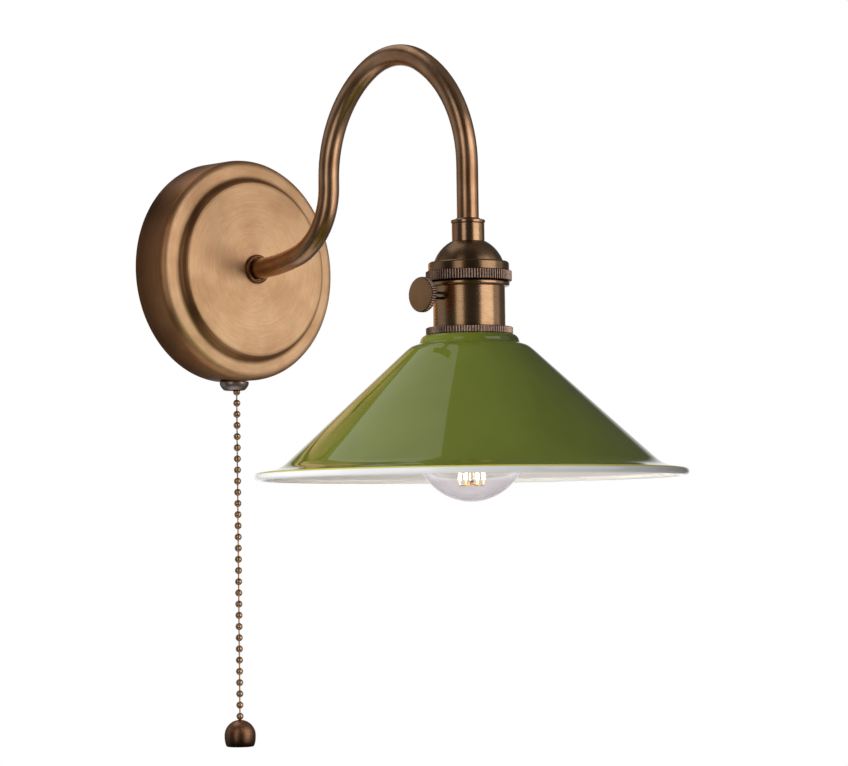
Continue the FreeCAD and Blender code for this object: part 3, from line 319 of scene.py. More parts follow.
def close_piece(piece, sheet=0.0, smooth=30.0):
    """Faces outwards, gives a skin its thickness inwards and smooths all but the sharp edges."""
    bpy.ops.mesh.select_all(action="SELECT")
    bpy.ops.mesh.normals_make_consistent(inside=False)
    bpy.ops.object.mode_set(mode="OBJECT")
    if sheet:
        wall = piece.modifiers.new("wall", "SOLIDIFY")
        wall.thickness = sheet * MM
        wall.offset = -1
        wall.use_even_offset = True
        bpy.ops.object.modifier_apply(modifier=wall.name)
    bpy.ops.object.shade_smooth_by_angle(angle=math.radians(smooth))
    return piece


# a rounded ridge of the knurl: how deep each of its six columns lies, as shares of the depth
RIDGE = (1.0, 0.6, 0.14, 0.0, 0.14, 0.6)


def cut_teeth(piece, axis, centre, teeth, tip_radius, depth):
    """Presses the knurl's grooves into the outermost rings, column by column."""
    side, up = ACROSS[axis]
    for share in sorted(set(RIDGE) - {0.0}):
        def at_share(corner):
            offset = corner.co / MM - centre
            radius, _ = from_axis(corner.co / MM, axis, centre)
            angle = math.atan2(offset["XYZ".index(up)], offset["XYZ".index(side)])
            column = round(angle / (2 * math.pi) * teeth * len(RIDGE)) % len(RIDGE)
            return abs(radius - tip_radius) < 0.01 and RIDGE[column] == share

        pick(piece, at_share)
        resize_round(axis, 1 - share * depth / tip_radius, centre)


def join_pieces(name, pieces):
    select_only(*pieces)
    if len(pieces) > 1:
        bpy.ops.object.join()
    pieces[0].name = pieces[0].data.name = name
    return pieces[0]


def twin_of(piece):
    """A copy with its own mesh in the same place, selected alone."""
    select_only(piece)
    bpy.ops.object.duplicate(linked=False)
    return bpy.context.object


def rod(name, start, end, radius, sides=16):
    """A straight round rod between two points, with a small round on both ends."""
    way = end - start
    turn = way.to_track_quat("Z", "Y").to_euler()
    piece = new_primitive(name, bpy.ops.mesh.primitive_cylinder_add, vertices=sides,
                          radius=radius * MM, depth=way.length * MM,
                          location=(start + end) / 2 * MM, rotation=turn)
    pick(piece, lambda face: len(face.verts) == sides, "FACE")
    bpy.ops.mesh.bevel(offset=radius * ROD_ROUND * MM, segments=2, affect="EDGES")
    return close_piece(piece, smooth=40)


def paint_faces(piece, first, second, test):
    """Gives the open piece two finishes, the second on the faces that pass the test."""
    bpy.ops.object.mode_set(mode="OBJECT")
    piece.data.materials.append(first)
    piece.data.materials.append(second)
    open_piece(piece)
    pick(piece, test, "FACE")
    piece.active_material_index = 1
    bpy.ops.object.material_slot_assign()


def finish_piece(piece, body, slot, finish, *nodes):
    """The piece rides on its body, stands for its CAD nodes and gets its finish, if any."""
    if finish:
        piece.data.materials.clear()
        piece.data.materials.append(finish)
    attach(piece, body)
    if nodes:
        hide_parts(*nodes)


# ---------------- material helpers
def colour(code):
    """Linear colour from an sRGB hex code."""
    parts = [int(code[i:i + 2], 16) / 255 for i in (1, 3, 5)]
    return tuple(c / 12.92 if c <= 0.04045 else ((c + 0.055) / 1.055) ** 2.4 for c in parts) + (1,)


def add_node(tree, kind, settings=None, links=None):
    """Adds a node. Links give its inputs: a value, or a socket of another node."""
    made = tree.nodes.new("ShaderNode" + kind)
    for name, value in (settings or {}).items():
        setattr(made, name, value)
    for name, value in (links or {}).items():
        if isinstance(value, bpy.types.NodeSocket):
            tree.links.new(value, made.inputs[name])
        else:
            made.inputs[name].default_value = value
    return made


def join_up(tree, shader, **sockets):
    """Links sockets to the shader's inputs of the same name."""
    for name, socket in sockets.items():
        tree.links.new(socket, shader.inputs[name.replace("_", " ")])


def new_material(name, **constants):
    """An empty material with its surface shader, whose constants are set on its own sockets."""
    made = bpy.data.materials.new(name)
    made.use_nodes = True
    tree = made.node_tree
    tree.nodes.clear()
    output = add_node(tree, "OutputMaterial")
    shader = add_node(tree, "BsdfPrincipled", links={
        key.replace("_", " "): value for key, value in constants.items()})
    tree.links.new(shader.outputs["BSDF"], output.inputs["Surface"])
    return made, tree, shader


def part_of(tree, vector, axis):
    """One coordinate of a vector."""
    return add_node(tree, "SeparateXYZ", links={"Vector": vector}).outputs[axis]


def maths(tree, operation, *values):
    return add_node(tree, "Math", {"operation": operation}, dict(enumerate(values))).outputs[0]


def ranged(tree, value, start, end, low=0.0, high=1.0):
    """A value between low and high as the input goes from start to end."""
    return add_node(tree, "MapRange", links={
        "Value": value, "From Min": start, "From Max": end, "To Min": low,
        "To Max": high}).outputs["Result"]


def object_place(tree, centre=ORIGIN):
    """Object coordinates in millimetres from a centre."""
    where = add_node(tree, "TexCoord")
    return add_node(tree, "Mapping", {"vector_type": "POINT"}, {
        "Vector": where.outputs["Object"], "Location": -centre,
        "Scale": (1 / MM, 1 / MM, 1 / MM)}).outputs["Vector"]


def turning_place(tree, axis, centre, turn_weight):
    """Where a turned piece's marks lie: distance from its axis, place along it, weighted angle."""
    apart = add_node(tree, "SeparateXYZ", links={"Vector": object_place(tree, centre)})
    side, up = (apart.outputs[name] for name in ACROSS[axis])
    flat = add_node(tree, "CombineXYZ", links={X: side, Y: up})
    radius = add_node(tree, "VectorMath", {"operation": "LENGTH"},
                      {"Vector": flat.outputs["Vector"]})
    angle = maths(tree, "MULTIPLY", maths(tree, "ARCTAN2", side, up), turn_weight)
    return add_node(tree, "CombineXYZ", links={
        X: radius.outputs["Value"], Y: apart.outputs[axis], Z: angle}).outputs["Vector"]


def noise(tree, place, size, detail=2.0, roughness=0.5, stretch=(1, 1, 1)):
    """Noise whose cells are so many millimetres wide."""
    scaled = add_node(tree, "Mapping", links={
        "Vector": place, "Scale": tuple(part / size for part in stretch)})
    return add_node(tree, "TexNoise", links={
        "Vector": scaled.outputs["Vector"], "Scale": 1.0, "Detail": detail,
        "Roughness": roughness}).outputs["Fac"]


def blend_colours(tree, factor, low, high, start=0.35, end=0.65):
    """Colour between two hex codes as the factor goes from start to end."""
    ramp = add_node(tree, "ValToRGB", links={"Fac": factor})
    first, last = ramp.color_ramp.elements
    first.position, last.position = start, end
    first.color, last.color = colour(low), colour(high)
    return ramp.outputs["Color"]


def spread(tree, factor, low, high):
    """A value between low and high over the middle of a noise."""
    return ranged(tree, factor, 0.3, 0.7, low, high)


def add_bump(tree, shader, height, depth, strength=0.4):
    """Relief of so many millimetres."""
    made = add_node(tree, "Bump", links={
        "Height": height, "Distance": depth * MM, "Strength": strength})
    join_up(tree, shader, Normal=made.outputs["Normal"])


# places of a mix node's colour sockets
MIX_SHARE, MIX_FIRST, MIX_SECOND, MIX_RESULT = 0, 6, 7, 2


def mix_colours(tree, first, second, share=1.0, way="MULTIPLY"):
    """Two colours multiplied, or blended by their share when way is MIX."""
    return add_node(tree, "Mix", {"data_type": "RGBA", "blend_type": way}, {
        MIX_SHARE: share, MIX_FIRST: first, MIX_SECOND: second}).outputs[MIX_RESULT]


# ---------------- metals
def brushed_plating(name, axis, centre, dark, light, roughness, line, brush=0.6, painted_shade=None):
    """Plated metal brushed on a lathe under clear lacquer.

    The eye sees fans and bands of light across fine rings, and painted shade where a
    shade function is given. Real brush lines are about 0.1 mm apart; these are wider apart, to
    show.
    """
    made, tree, shader = new_material(
        name, Metallic=1.0, Anisotropic=brush, Anisotropic_Rotation=0.25,
        Coat_Weight=0.15, Coat_Roughness=0.2)
    ring = turning_place(tree, axis, centre, 2.0)
    lines = noise(tree, ring, line, detail=4.0, roughness=0.7)
    fine = noise(tree, ring, line * 0.3)
    cloud = noise(tree, object_place(tree), 22.0, detail=3.0)
    tint = blend_colours(tree, lines, dark, light, 0.25, 0.7)
    patina = blend_colours(tree, cloud, "#E6DCD4", "#FFFFFF", 0.3, 0.6)
    tint = mix_colours(tree, tint, patina)
    # painted shade multiplied into the colour
    if painted_shade:
        tint = mix_colours(tree, tint, painted_shade(tree, ring))
    tangent = add_node(tree, "Tangent", {"direction_type": "RADIAL", "axis": axis})
    join_up(tree, shader, Base_Color=tint, Tangent=tangent.outputs["Tangent"],
            Roughness=spread(tree, fine, roughness * 0.85, roughness * 1.2))
    add_bump(tree, shader, lines, 0.006)
    return made


def canopy_painted_shade(tree, ring):
    """Painted shade: darker along the canopy's side towards the wall, round the foot of its step,
    and a little over the upper half."""
    side = ranged(tree, part_of(tree, ring, Y), -CANOPY_DEPTH, 0.0)
    from_foot = maths(tree, "SUBTRACT", part_of(tree, ring, X), DISC_FOOT_R)
    step = ranged(tree, maths(tree, "ABSOLUTE", from_foot), 0.5, DISC_FOOT_ROUND + 0.8)
    height = ranged(tree, part_of(tree, object_place(tree), Z), -CANOPY_R, CANOPY_R)
    tint = blend_colours(tree, side, "#FFFFFF", "#D3BCA6", 0.02, 0.08)
    for layer in (blend_colours(tree, side, "#FFFFFF", "#A79C86", 0.08, 0.8),
                  blend_colours(tree, height, "#FFFFFF", "#E6E2DE", 0.2, 0.8),
                  blend_colours(tree, step, "#A89888", "#FFFFFF", 0.0, 1.0)):
        tint = mix_colours(tree, tint, layer)
    return tint


def drawn_tube_plating():
    """Antique copper on drawn tube, polished lengthwise: long streaks, soft broad highlights."""
    made, tree, shader = new_material("antique copper, drawn tube", Metallic=1.0,
                                      Coat_Weight=0.2, Coat_Roughness=0.2)
    # streaks lie at constant x, so they run along the arm, which bends in the plane x = 0
    place = object_place(tree)
    streaks = noise(tree, place, 0.5, detail=3.0, roughness=0.6, stretch=(1, 0.02, 0.02))
    cloud = noise(tree, place, 16.0, detail=3.0)
    tint = blend_colours(tree, streaks, "#BC8F69", "#DFB38C", 0.3, 0.7)
    patina = blend_colours(tree, cloud, "#D9CCC2", "#FFFFFF", 0.3, 0.6)
    join_up(tree, shader, Base_Color=mix_colours(tree, tint, patina),
            Roughness=spread(tree, streaks, 0.26, 0.34))
    add_bump(tree, shader, streaks, 0.004)
    return made


def plain_metal(name, dark, light, roughness, size=3.0, relief=0.004):
    """Small metal part with the faint clouds and fine scratches of handling."""
    made, tree, shader = new_material(name, Metallic=1.0)
    place = object_place(tree)
    cloud = noise(tree, place, size, detail=4.0, roughness=0.65)
    scratch = noise(tree, place, size * 0.15, detail=3.0, stretch=(1, 0.2, 1))
    join_up(tree, shader, Base_Color=blend_colours(tree, cloud, dark, light),
            Roughness=spread(tree, scratch, roughness * 0.8, roughness * 1.3))
    add_bump(tree, shader, scratch, relief, 0.5)
    return made


def ball_foot_painted_shade(tree, ring):
    """Painted shade: the ball's colour darkens to nearly black towards its foot."""
    foot = span("pull_ball")[0].z
    share = ranged(tree, part_of(tree, ring, Y), foot, foot + BALL_HEIGHT * 0.85)
    return blend_colours(tree, share, "#33291F", "#FFFFFF", 0.05, 1.0)


def knurl_plating(name, axis, centre, tip_radius, depth):
    """Antique brass rolled to teeth: the crests are rubbed bright, the grooves keep dark oxide."""
    made, tree, shader = new_material(name, Metallic=1.0)
    radius = part_of(tree, turning_place(tree, axis, centre, 1.0), X)
    crest = ranged(tree, radius, tip_radius - depth, tip_radius - 0.05)
    wear = noise(tree, object_place(tree), 1.2, detail=3.0)
    tint = blend_colours(tree, crest, "#2E231C", "#B79A8A", 0.15, 0.85)
    rubbed = blend_colours(tree, wear, "#CFC4BC", "#FFFFFF")
    join_up(tree, shader, Base_Color=mix_colours(tree, tint, rubbed),
            Roughness=spread(tree, wear, 0.32, 0.42))
    add_bump(tree, shader, wear, 0.01)
    return made


# ---------------- enamel, glass and plastics
def gloss_enamel(name, low, high, edge, start, end):
    """Stove enamel sprayed on spun steel: even colour, a wet gloss and a faint orange peel.

    It turns to the edge's colour from one radius to the other. On the white this is the bulb's
    warm light, painted as a creamy tint inside the rim; on the green it is a painted highlight on
    the rim's bead.
    """
    made, tree, shader = new_material(name, Roughness=0.04, IOR=1.5)
    place = object_place(tree)
    cloud = noise(tree, place, 30.0)
    peel = noise(tree, place, 1.6, detail=1.0)
    radius = part_of(tree, turning_place(tree, Z, LAMP_AXIS, 1.0), X)
    # the edge colour mixed in by radius is painted light: a highlight on the green, the bulb's
    # warm light on the white
    join_up(tree, shader, Base_Color=mix_colours(
        tree, blend_colours(tree, cloud, low, high), colour(edge),
        ranged(tree, radius, start, end), "MIX"))
    add_bump(tree, shader, peel, 0.002, 0.35)
    return made


def clear_glass():
    """Blown glass of the bulb: clear and thin, with slow waves and a faint grey film below."""
    made, tree, shader = new_material("clear blown glass", Roughness=0.0, IOR=1.5,
                                      Transmission_Weight=1.0)
    place = object_place(tree, LAMP_AXIS)
    waves = noise(tree, place, 9.0, detail=1.0)
    film = ranged(tree, part_of(tree, place, Z), *(BULB_FOOT + edge for edge in BULB_FILM_EDGE))
    join_up(tree, shader, Base_Color=mix_colours(
        tree, blend_colours(tree, waves, "#FAF8F9", "#FFFFFF"),
        blend_colours(tree, film, "#EBE7EA", "#FFFFFF", 0.0, 1.0)))
    add_bump(tree, shader, waves, 0.008)
    return made


def glowing_filament():
    """Phosphor-coated strip, lit: warm white, with an unlit gilt tab where it is soldered."""
    made, tree, shader = new_material("phosphor strip, lit", Roughness=0.6, Emission_Strength=8.0)
    place = object_place(tree, LAMP_AXIS)
    grain = noise(tree, place, 0.8)
    tab_top = FILAMENT_FOOT[1] + FILAMENT_TAB
    lit = ranged(tree, part_of(tree, place, Z), tab_top - 0.3, tab_top + 0.6)
    join_up(tree, shader, Base_Color=blend_colours(tree, grain, "#FFD890", "#FFE7B4"),
            Emission_Color=blend_colours(tree, lit, "#38280C", "#FFE3A0", 0.1, 0.9))
    return made


def moulded(name, low, high, roughness, size=4.0, grain=0.5, relief=0.01):
    """Moulded or extruded plastic, paper or ceramic: a soft mottle and a fine grain."""
    made, tree, shader = new_material(name, IOR=1.5)
    place = object_place(tree)
    cloud = noise(tree, place, size)
    fine = noise(tree, place, grain)
    join_up(tree, shader, Base_Color=blend_colours(tree, cloud, low, high),
            Roughness=spread(tree, fine, roughness * 0.85, roughness * 1.15))
    add_bump(tree, shader, fine, relief)
    return made


# the canopy's colour carries painted shade on its side, at its step foot and over its upper half
copper_canopy = brushed_plating("antique copper, lathe brushed", Y, ORIGIN,
                                "#EEB88C", "#FFD7A7", 0.42, line=0.6, painted_shade=canopy_painted_shade)
copper_tube = drawn_tube_plating()
brass_holder = brushed_plating("antique brass, lathe brushed", Z, LAMP_AXIS,
                               "#A98664", "#C9A27C", 0.27, line=0.5)
brass_cap = brushed_plating("antique brass, dark dome", Z, LAMP_AXIS, "#886B50", "#A48363", 0.27,
                            line=0.5)
brass_knob = brushed_plating("antique brass, knob", X, KEY_CENTRE, "#B58A62", "#CFA277", 0.42,
                             line=0.6, brush=0.2)
brass_knurl = knurl_plating("antique brass, knurled ring", Z, LAMP_AXIS, CAP_RING_R, KNURL_DEPTH)
knob_knurl = knurl_plating("antique brass, knurled knob", X, KEY_CENTRE, KNOB_R, KNOB_TOOTH)
chain_plating = plain_metal("antique brass, ball chain", "#BE946E", "#E2BC96", 0.26, 1.5)
# painted shade: the ball's colour darkens towards its foot
ball_plating = brushed_plating("antique copper, pull ball", Z, Vector((0, CHAIN_Y, 0)),
                               "#B0805F", "#C89672", 0.38, line=1.5, brush=0.0,
                               painted_shade=ball_foot_painted_shade)
trim_plating = plain_metal("antique brass, small parts", "#6E4A30", "#84603F", 0.34, 5.0)
key_steel = plain_metal("blackened key steel", "#4A403A", "#62564E", 0.3, 2.0)
gunmetal = plain_metal("gunmetal nickel", "#9A8A82", "#B6A69E", 0.34, 4.0)
zinc = plain_metal("zinc plated steel", "#B9BCC0", "#D2D4D6", 0.35, 6.0, 0.01)
spring_steel = plain_metal("bright spring steel", "#A8A8A8", "#C4C4C4", 0.25, 2.0)
bare_brass = plain_metal("bare brass", "#C9A052", "#DDB66A", 0.25, 4.0)
gilt_wire = plain_metal("gilt wire", "#F0C468", "#FFDC8C", 0.5, 2.0)
nickel = plain_metal("nickel plate", "#B8B6AE", "#CFCDC6", 0.28, 4.0)
solder = plain_metal("solder", "#A3A29C", "#BDBCB6", 0.4, 1.0, 0.02)
# the yellow-green on the rim's bead is a painted highlight
green_enamel = gloss_enamel("gloss green enamel", "#687226", "#6D782A", "#D2C658",
                            SHADE_RIM_R - SHADE_BEAD_R - 0.2, SHADE_RIM_R - SHADE_BEAD_R + 0.6)
# the creamy tint inside the rim is the bulb's warm light, painted
white_enamel = gloss_enamel("gloss white enamel", "#E9E9E8", "#EFEFEF", "#EFE9E2",
                            SHADE_LIP[0], SHADE_LIP[0] - 6.0)
bulb_glass_finish = clear_glass()
filament_glow = glowing_filament()
white_nylon = moulded("white nylon", "#DEDED6", "#E8E8E2", 0.5)
black_phenolic = moulded("black phenolic", "#15120F", "#1E1A17", 0.35)
black_sheath = moulded("black flex sheath", "#131313", "#1B1B1B", 0.55)
brown_lead = moulded("brown lead", "#5C3420", "#6A3E28", 0.45)
blue_lead = moulded("blue lead", "#2A52A4", "#3460B4", 0.45)
green_lead = moulded("green lead", "#4C8A2C", "#5C9A38", 0.45)
fibre = moulded("insulating fibre", "#8E6E48", "#A5835A", 0.8, 3.0, 0.4, 0.03)
black_glass = moulded("black glass", "#0C0A0E", "#141117", 0.1)


# ---------------- canopy and arm
def canopy():
    """Spun cup with a raised disc."""
    rings = [(CANOPY_R, 0.0), (CANOPY_R, -CANOPY_DEPTH, CANOPY_EDGE_ROUND),
             (DISC_FOOT_R, -CANOPY_DEPTH, DISC_FOOT_ROUND),
             (DISC_FRONT_R, -DISC_FRONT, DISC_EDGE_ROUND), (ARM_HOLE_R, -DISC_FRONT)]
    return close_piece(turned("canopy_skin", rings, Y, ORIGIN, sides=192, steps=5), CANOPY_SHEET)


def arm():
    """Tube drawn from a circle along tangent arcs."""
    back = -span("arm_tube")[1].y
    foot = span("arm_tube")[0].z
    piece = new_primitive("arm_skin", bpy.ops.mesh.primitive_circle_add, vertices=48,
                          radius=TUBE_R * MM, location=(0, -back * MM, 0),
                          rotation=AXIS_TURN[Y])
    draw_out(Y, back - DISC_FRONT)
    out, height, heading = DISC_FRONT, 0.0, 0.0
    for radius, turn in ARM_ROOT + [(None, ARM_RISER)] + ARM_ARCH:
        if radius is None:
            draw_out(Z, turn)
            height += turn
            continue
        side = math.copysign(1, turn)
        centre = Vector((0, -(out - side * radius * math.sin(heading)),
                         height + side * radius * math.cos(heading)))
        bpy.ops.mesh.spin(steps=math.ceil(abs(turn) / ARM_STEP), angle=math.radians(turn),
                          center=centre * MM, axis=(1, 0, 0), use_auto_merge=False)
        heading += math.radians(turn)
        out = -centre.y + side * radius * math.sin(heading)
        height = centre.z - side * radius * math.cos(heading)
    draw_out(Z, foot - height)
    bpy.ops.mesh.select_all(action="SELECT")
    bpy.ops.mesh.remove_doubles(threshold=0.001 * MM)
    return close_piece(piece, TUBE_WALL)


def ferrule():
    """Small rounded ring where the arm enters the disc."""
    front = -DISC_FRONT - FERRULE_HEIGHT
    rings = [(FERRULE_BORE_R, -DISC_FRONT), (FERRULE_R, -DISC_FRONT), (FERRULE_R, front, 0.9),
             (FERRULE_BORE_R, front, 0.4)]
    return close_piece(turned("arm_ferrule_skin", rings, Y, ORIGIN, sides=64, ends="loop"))


# ---------------- lampholder
def neck_collar():
    """Turned collar: a lip at its top and a small step round the tube."""
    lip_foot = COLLAR_TOP - COLLAR_LIP
    bore = TUBE_R + SEAT_GAP
    rings = [(bore, COLLAR_FOOT), (COLLAR_R, COLLAR_FOOT, 0.3), (COLLAR_R, lip_foot - 0.5, 0.2),
             (COLLAR_R - 0.25, lip_foot), (COLLAR_LIP_R, lip_foot, 0.4),
             (COLLAR_LIP_R, COLLAR_TOP, 0.5), (bore + 1.6, COLLAR_TOP),
             (bore + 0.4, COLLAR_TOP + COLLAR_STEP), (bore, COLLAR_TOP + COLLAR_STEP)]
    return close_piece(turned("neck_collar_skin", rings, sides=96, ends="loop", steps=3))


def holder_cap():
    """Spun cap: a dome that runs out into a short flange."""
    top, foot = (math.degrees(math.acos((height - DOME_CENTRE) / DOME_R))
                 for height in (COLLAR_FOOT, FLANGE_TOP))
    angles = [top + (foot - top) * n / DOME_STEPS for n in range(DOME_STEPS + 1)]
    rings = [(CAP_HOLE_R, COLLAR_FOOT)] + arc_rings(0, DOME_CENTRE, DOME_R, angles)
    rings += [(FLANGE_R, FLANGE_TOP, 1.3), (FLANGE_R, FLANGE_FOOT)]
    return close_piece(turned("holder_cap_skin", rings, steps=5), CAP_SHEET)


def knurled_ring(name, radius, bore, foot, top):
    """Ring nut with upright teeth and turned-down edges."""
    low = radius - KNURL_DEPTH - 0.1
    rings = [(bore, foot), (low, foot), (radius, foot + KNURL_EDGE), (radius, top - KNURL_EDGE),
             (low, top), (bore, top)]
    piece = turned(name, rings, sides=KNURL_TEETH * len(RIDGE), ends="loop")
    cut_teeth(piece, Z, LAMP_AXIS, KNURL_TEETH, radius, KNURL_DEPTH)
    return close_piece(piece, smooth=25)


def holder_shell():
    """Upper shell: a neck under the ring, a rolled bead and the long plain body."""
    bead_mid = (CAP_RING_FOOT + SHELL_BEAD_FOOT) / 2
    bead_half = (CAP_RING_FOOT - SHELL_BEAD_FOOT) / 2
    rings = [(SHELL_NECK_R, SHELL_TOP), (SHELL_NECK_R, CAP_RING_FOOT)]
    rings += arc_rings(SHELL_BEAD_R - bead_half, bead_mid, bead_half, range(10, 171, 20))
    rings += [(SHELL_R, SHELL_BEAD_FOOT, 0.3), (SHELL_R, SHELL_FOOT)]
    return close_piece(turned("holder_shell_skin", rings, steps=3), SHELL_SHEET)


def key_knob():
    """Coin-shaped knob: crowned face, knurled edge and a small hub."""
    back, face = KNOB_THICK - KNOB_FACE, -KNOB_FACE
    flat_r = KNOB_R - KNOB_EDGE
    hub_end = (HUB_BORE_R, back + HUB_LENGTH)
    rings = [hub_end, (HUB_R, back + HUB_LENGTH, 0.4), (HUB_R, back), (flat_r, back, 0.1),
             (KNOB_R, back - KNOB_EDGE), (KNOB_R, face + KNOB_EDGE), (flat_r, face, 0.1)]
    rings += [(radius, face - KNOB_CROWN * (1 - (radius / flat_r) ** 2))
              for radius in (KNOB_R * share for share in KNOB_CROWN_RINGS)]
    rings.append((0, face - KNOB_CROWN))
    piece = turned("key_knob_skin", rings, X, KEY_CENTRE, sides=KNOB_TEETH * len(RIDGE), steps=2)
    cut_teeth(piece, X, KEY_CENTRE, KNOB_TEETH, KNOB_R, KNOB_TOOTH)
    pick_rings(piece, X, KEY_CENTRE, hub_end)
    bpy.ops.mesh.edge_face_add()
    edge_from = KNOB_R - KNOB_EDGE * 0.9

    def on_edge(face):
        return from_axis(face.calc_center_median() / MM, X, KEY_CENTRE)[0] > edge_from

    paint_faces(piece, brass_knob, knob_knurl, on_edge)
    return close_piece(piece)


def key_shaft():
    low, high = span("key_shaft")
    rings = [(KEY_SHAFT_R, high.x, 0.2), (KEY_SHAFT_R, low.x, 0.2)]
    return close_piece(turned("key_shaft_skin", rings, X, KEY_CENTRE, sides=32, ends="flat",
                              steps=2))


# ---------------- shade and bulb
def shade():
    """Spun cone with a shoulder, a flat lip and a wired edge; green outside, white inside."""
    wire = (SHADE_RIM_R - SHADE_BEAD_R, SHADE_LIP[1] - SHADE_BEAD_R)
    outer = SHADE_SKIN + [SHADE_LIP + (0.8,)]
    bead_rings = arc_rings(*wire, SHADE_BEAD_R, range(0, 271, 18))
    (upper_r, upper, _), (lower_r, lower, _) = SHADE_SKIN[-2:]
    slope = math.atan2(lower - upper, lower_r - upper_r)
    down, back = SHADE_SHEET * math.cos(slope), SHADE_SHEET * math.sin(slope)
    inner = [(radius + back, height - down, size) for radius, height, size in SHADE_SKIN[:3:-1]]
    piece = turned("shade_skin", outer + bead_rings + inner + SHADE_NECK_INSIDE, sides=256,
                   ends="loop")
    bpy.ops.mesh.select_all(action="SELECT")
    bpy.ops.mesh.normals_make_consistent(inside=False)
    white_from = wire[1] + SHADE_BEAD_R * 0.45

    def is_inside(face):
        spot = face.calc_center_median() / MM
        outward = (spot - LAMP_AXIS).xy.normalized().dot(face.normal.xy)
        return spot.z < white_from or (spot.z < SHADE_TOP - 0.3 and
                                       (face.normal.z < -0.05 or outward < -0.2))

    paint_faces(piece, green_enamel, white_enamel, is_inside)
    return close_piece(piece)


def bulb_outline():
    """Outer line of the bulb from the foot up: round globe, straight flank, rounded neck."""
    centre = BULB_FOOT + BULB_R
    lean = math.radians(BULB_FLANK)
    globe = arc_rings(0, centre, BULB_R, range(174, 90 - BULB_FLANK, -6))
    tangent = (BULB_R * math.cos(lean), centre + BULB_R * math.sin(lean))
    corner = tangent[1] + (tangent[0] - BULB_NECK_R) / math.tan(lean)
    neck_top = corner + BULB_NECK_ROUND * math.tan(lean / 2)
    neck = arc_rings(BULB_NECK_R + BULB_NECK_ROUND, neck_top, BULB_NECK_ROUND,
                     [270 - BULB_FLANK * n / 6 for n in range(6, -1, -1)])
    return [(0, BULB_FOOT)] + globe + [tangent] + neck + [(BULB_NECK_R, BULB_TOP)]


def bulb_glass():
    return close_piece(turned("bulb_glass_skin", bulb_outline(), sides=96), BULB_GLASS, smooth=60)


def bulb_filaments():
    """Strips that lean inwards towards the top, each on a thin tab."""
    strips = []
    for n in range(FILAMENTS):
        angle = math.radians(360 * n / FILAMENTS + FILAMENT_TURN)
        way = Vector((math.cos(angle), math.sin(angle), 0))
        foot = LAMP_AXIS + way * FILAMENT_FOOT[0] + Vector((0, 0, FILAMENT_FOOT[1]))
        head = LAMP_AXIS + way * FILAMENT_HEAD[0] + Vector((0, 0, FILAMENT_HEAD[1]))
        lit = foot.lerp(head, FILAMENT_TAB / (head - foot).length)
        strips.append(rod("filament", lit, head, FILAMENT_R, 12))
        strips.append(rod("filament_tab", foot, foot.lerp(lit, 1.1), FILAMENT_TAB_R, 8))
    return join_pieces("bulb_filament_skin", strips)


# ---------------- pull chain
def bead():
    """Bead with a pit at both poles, where the links enter."""
    centre = Vector((0, CHAIN_Y, SWING_BEAD))
    piece = new_primitive("bead", bpy.ops.mesh.primitive_uv_sphere_add, segments=20, ring_count=14,
                          radius=BEAD_R * MM, location=centre * MM)
    for side in (1, -1):
        pick(piece, lambda face: len(face.verts) == 3 and
             side * (face.calc_center_median() / MM - centre).z > 0, "FACE")
        draw_out(Z, -side * BEAD_PIT)
    return close_piece(piece, smooth=50)


def link():
    """Wire between two beads, its ends in their pits."""
    top = Vector((0, CHAIN_Y, SWING_BEAD - BEAD_R + LINK_BITE))
    foot = Vector((0, CHAIN_Y, SWING_BEAD - BEAD_PITCH + BEAD_R - LINK_BITE))
    return rod("link", top, foot, LINK_R, 10)


def chain_run(name, model, start, count):
    """Copies of a bead or link, one pitch apart downwards."""
    copies = []
    for n in range(start, start + count):
        copies.append(twin_of(model))
        bpy.ops.transform.translate(value=along(Z, -BEAD_PITCH * n * MM))
        bpy.ops.object.transform_apply(location=True, rotation=True, scale=True)
    return join_pieces(name, copies)


def pull_ball():
    """Turned ball with a flat foot and a countersunk top."""
    foot = span("pull_ball")[0].z
    top = foot + BALL_HEIGHT
    equator = top - BALL_R
    pit = (LINK_R + 0.3, top - BALL_PIT)
    rings = [pit, (1.0, top - 0.05)] + arc_rings(0, equator, BALL_R, range(12, 91, 6))
    rings += arc_rings(BALL_FLAT_R, equator, BALL_R - BALL_FLAT_R, range(105, 166, 15),
                       tall=equator - foot)
    rings += [(BALL_FLAT_R, foot + 0.25), (BALL_FLAT_R - 0.7, foot), (0, foot)]
    centre = Vector((0, CHAIN_Y, 0))
    piece = turned("pull_ball_skin", rings, Z, centre, sides=64)
    pick_rings(piece, Z, centre, pit)
    bpy.ops.mesh.edge_face_add()
    return close_piece(piece, smooth=40)


def bell_nut():
    """Bell-mouthed nut: a narrow band at the top that curves in to the mouth."""
    swell = [(BELL_MOUTH_R + (BELL_TOP_R - BELL_MOUTH_R) * (1 - share ** 2),
              -BELL_BAND - (BELL_HEIGHT - BELL_BAND) * share)
             for share in (n * 0.15 for n in range(7))]
    hole_r = BELL_MOUTH_R - BELL_LIP
    rings = [(BELL_BORE_R, 0), (BELL_TOP_R, 0, 0.4)] + swell
    rings += [(BELL_MOUTH_R, -BELL_HEIGHT, 0.35), (hole_r, -BELL_HEIGHT),
              (hole_r, BELL_SEAT[0] - BELL_HEIGHT), (BELL_BORE_R, BELL_SEAT[1] - BELL_HEIGHT)]
    centre = Vector((0, BELL_AXIS_Y, BELL_TOP))
    return close_piece(turned("bell_nut_skin", rings, Z, centre, sides=72, ends="loop", steps=3))


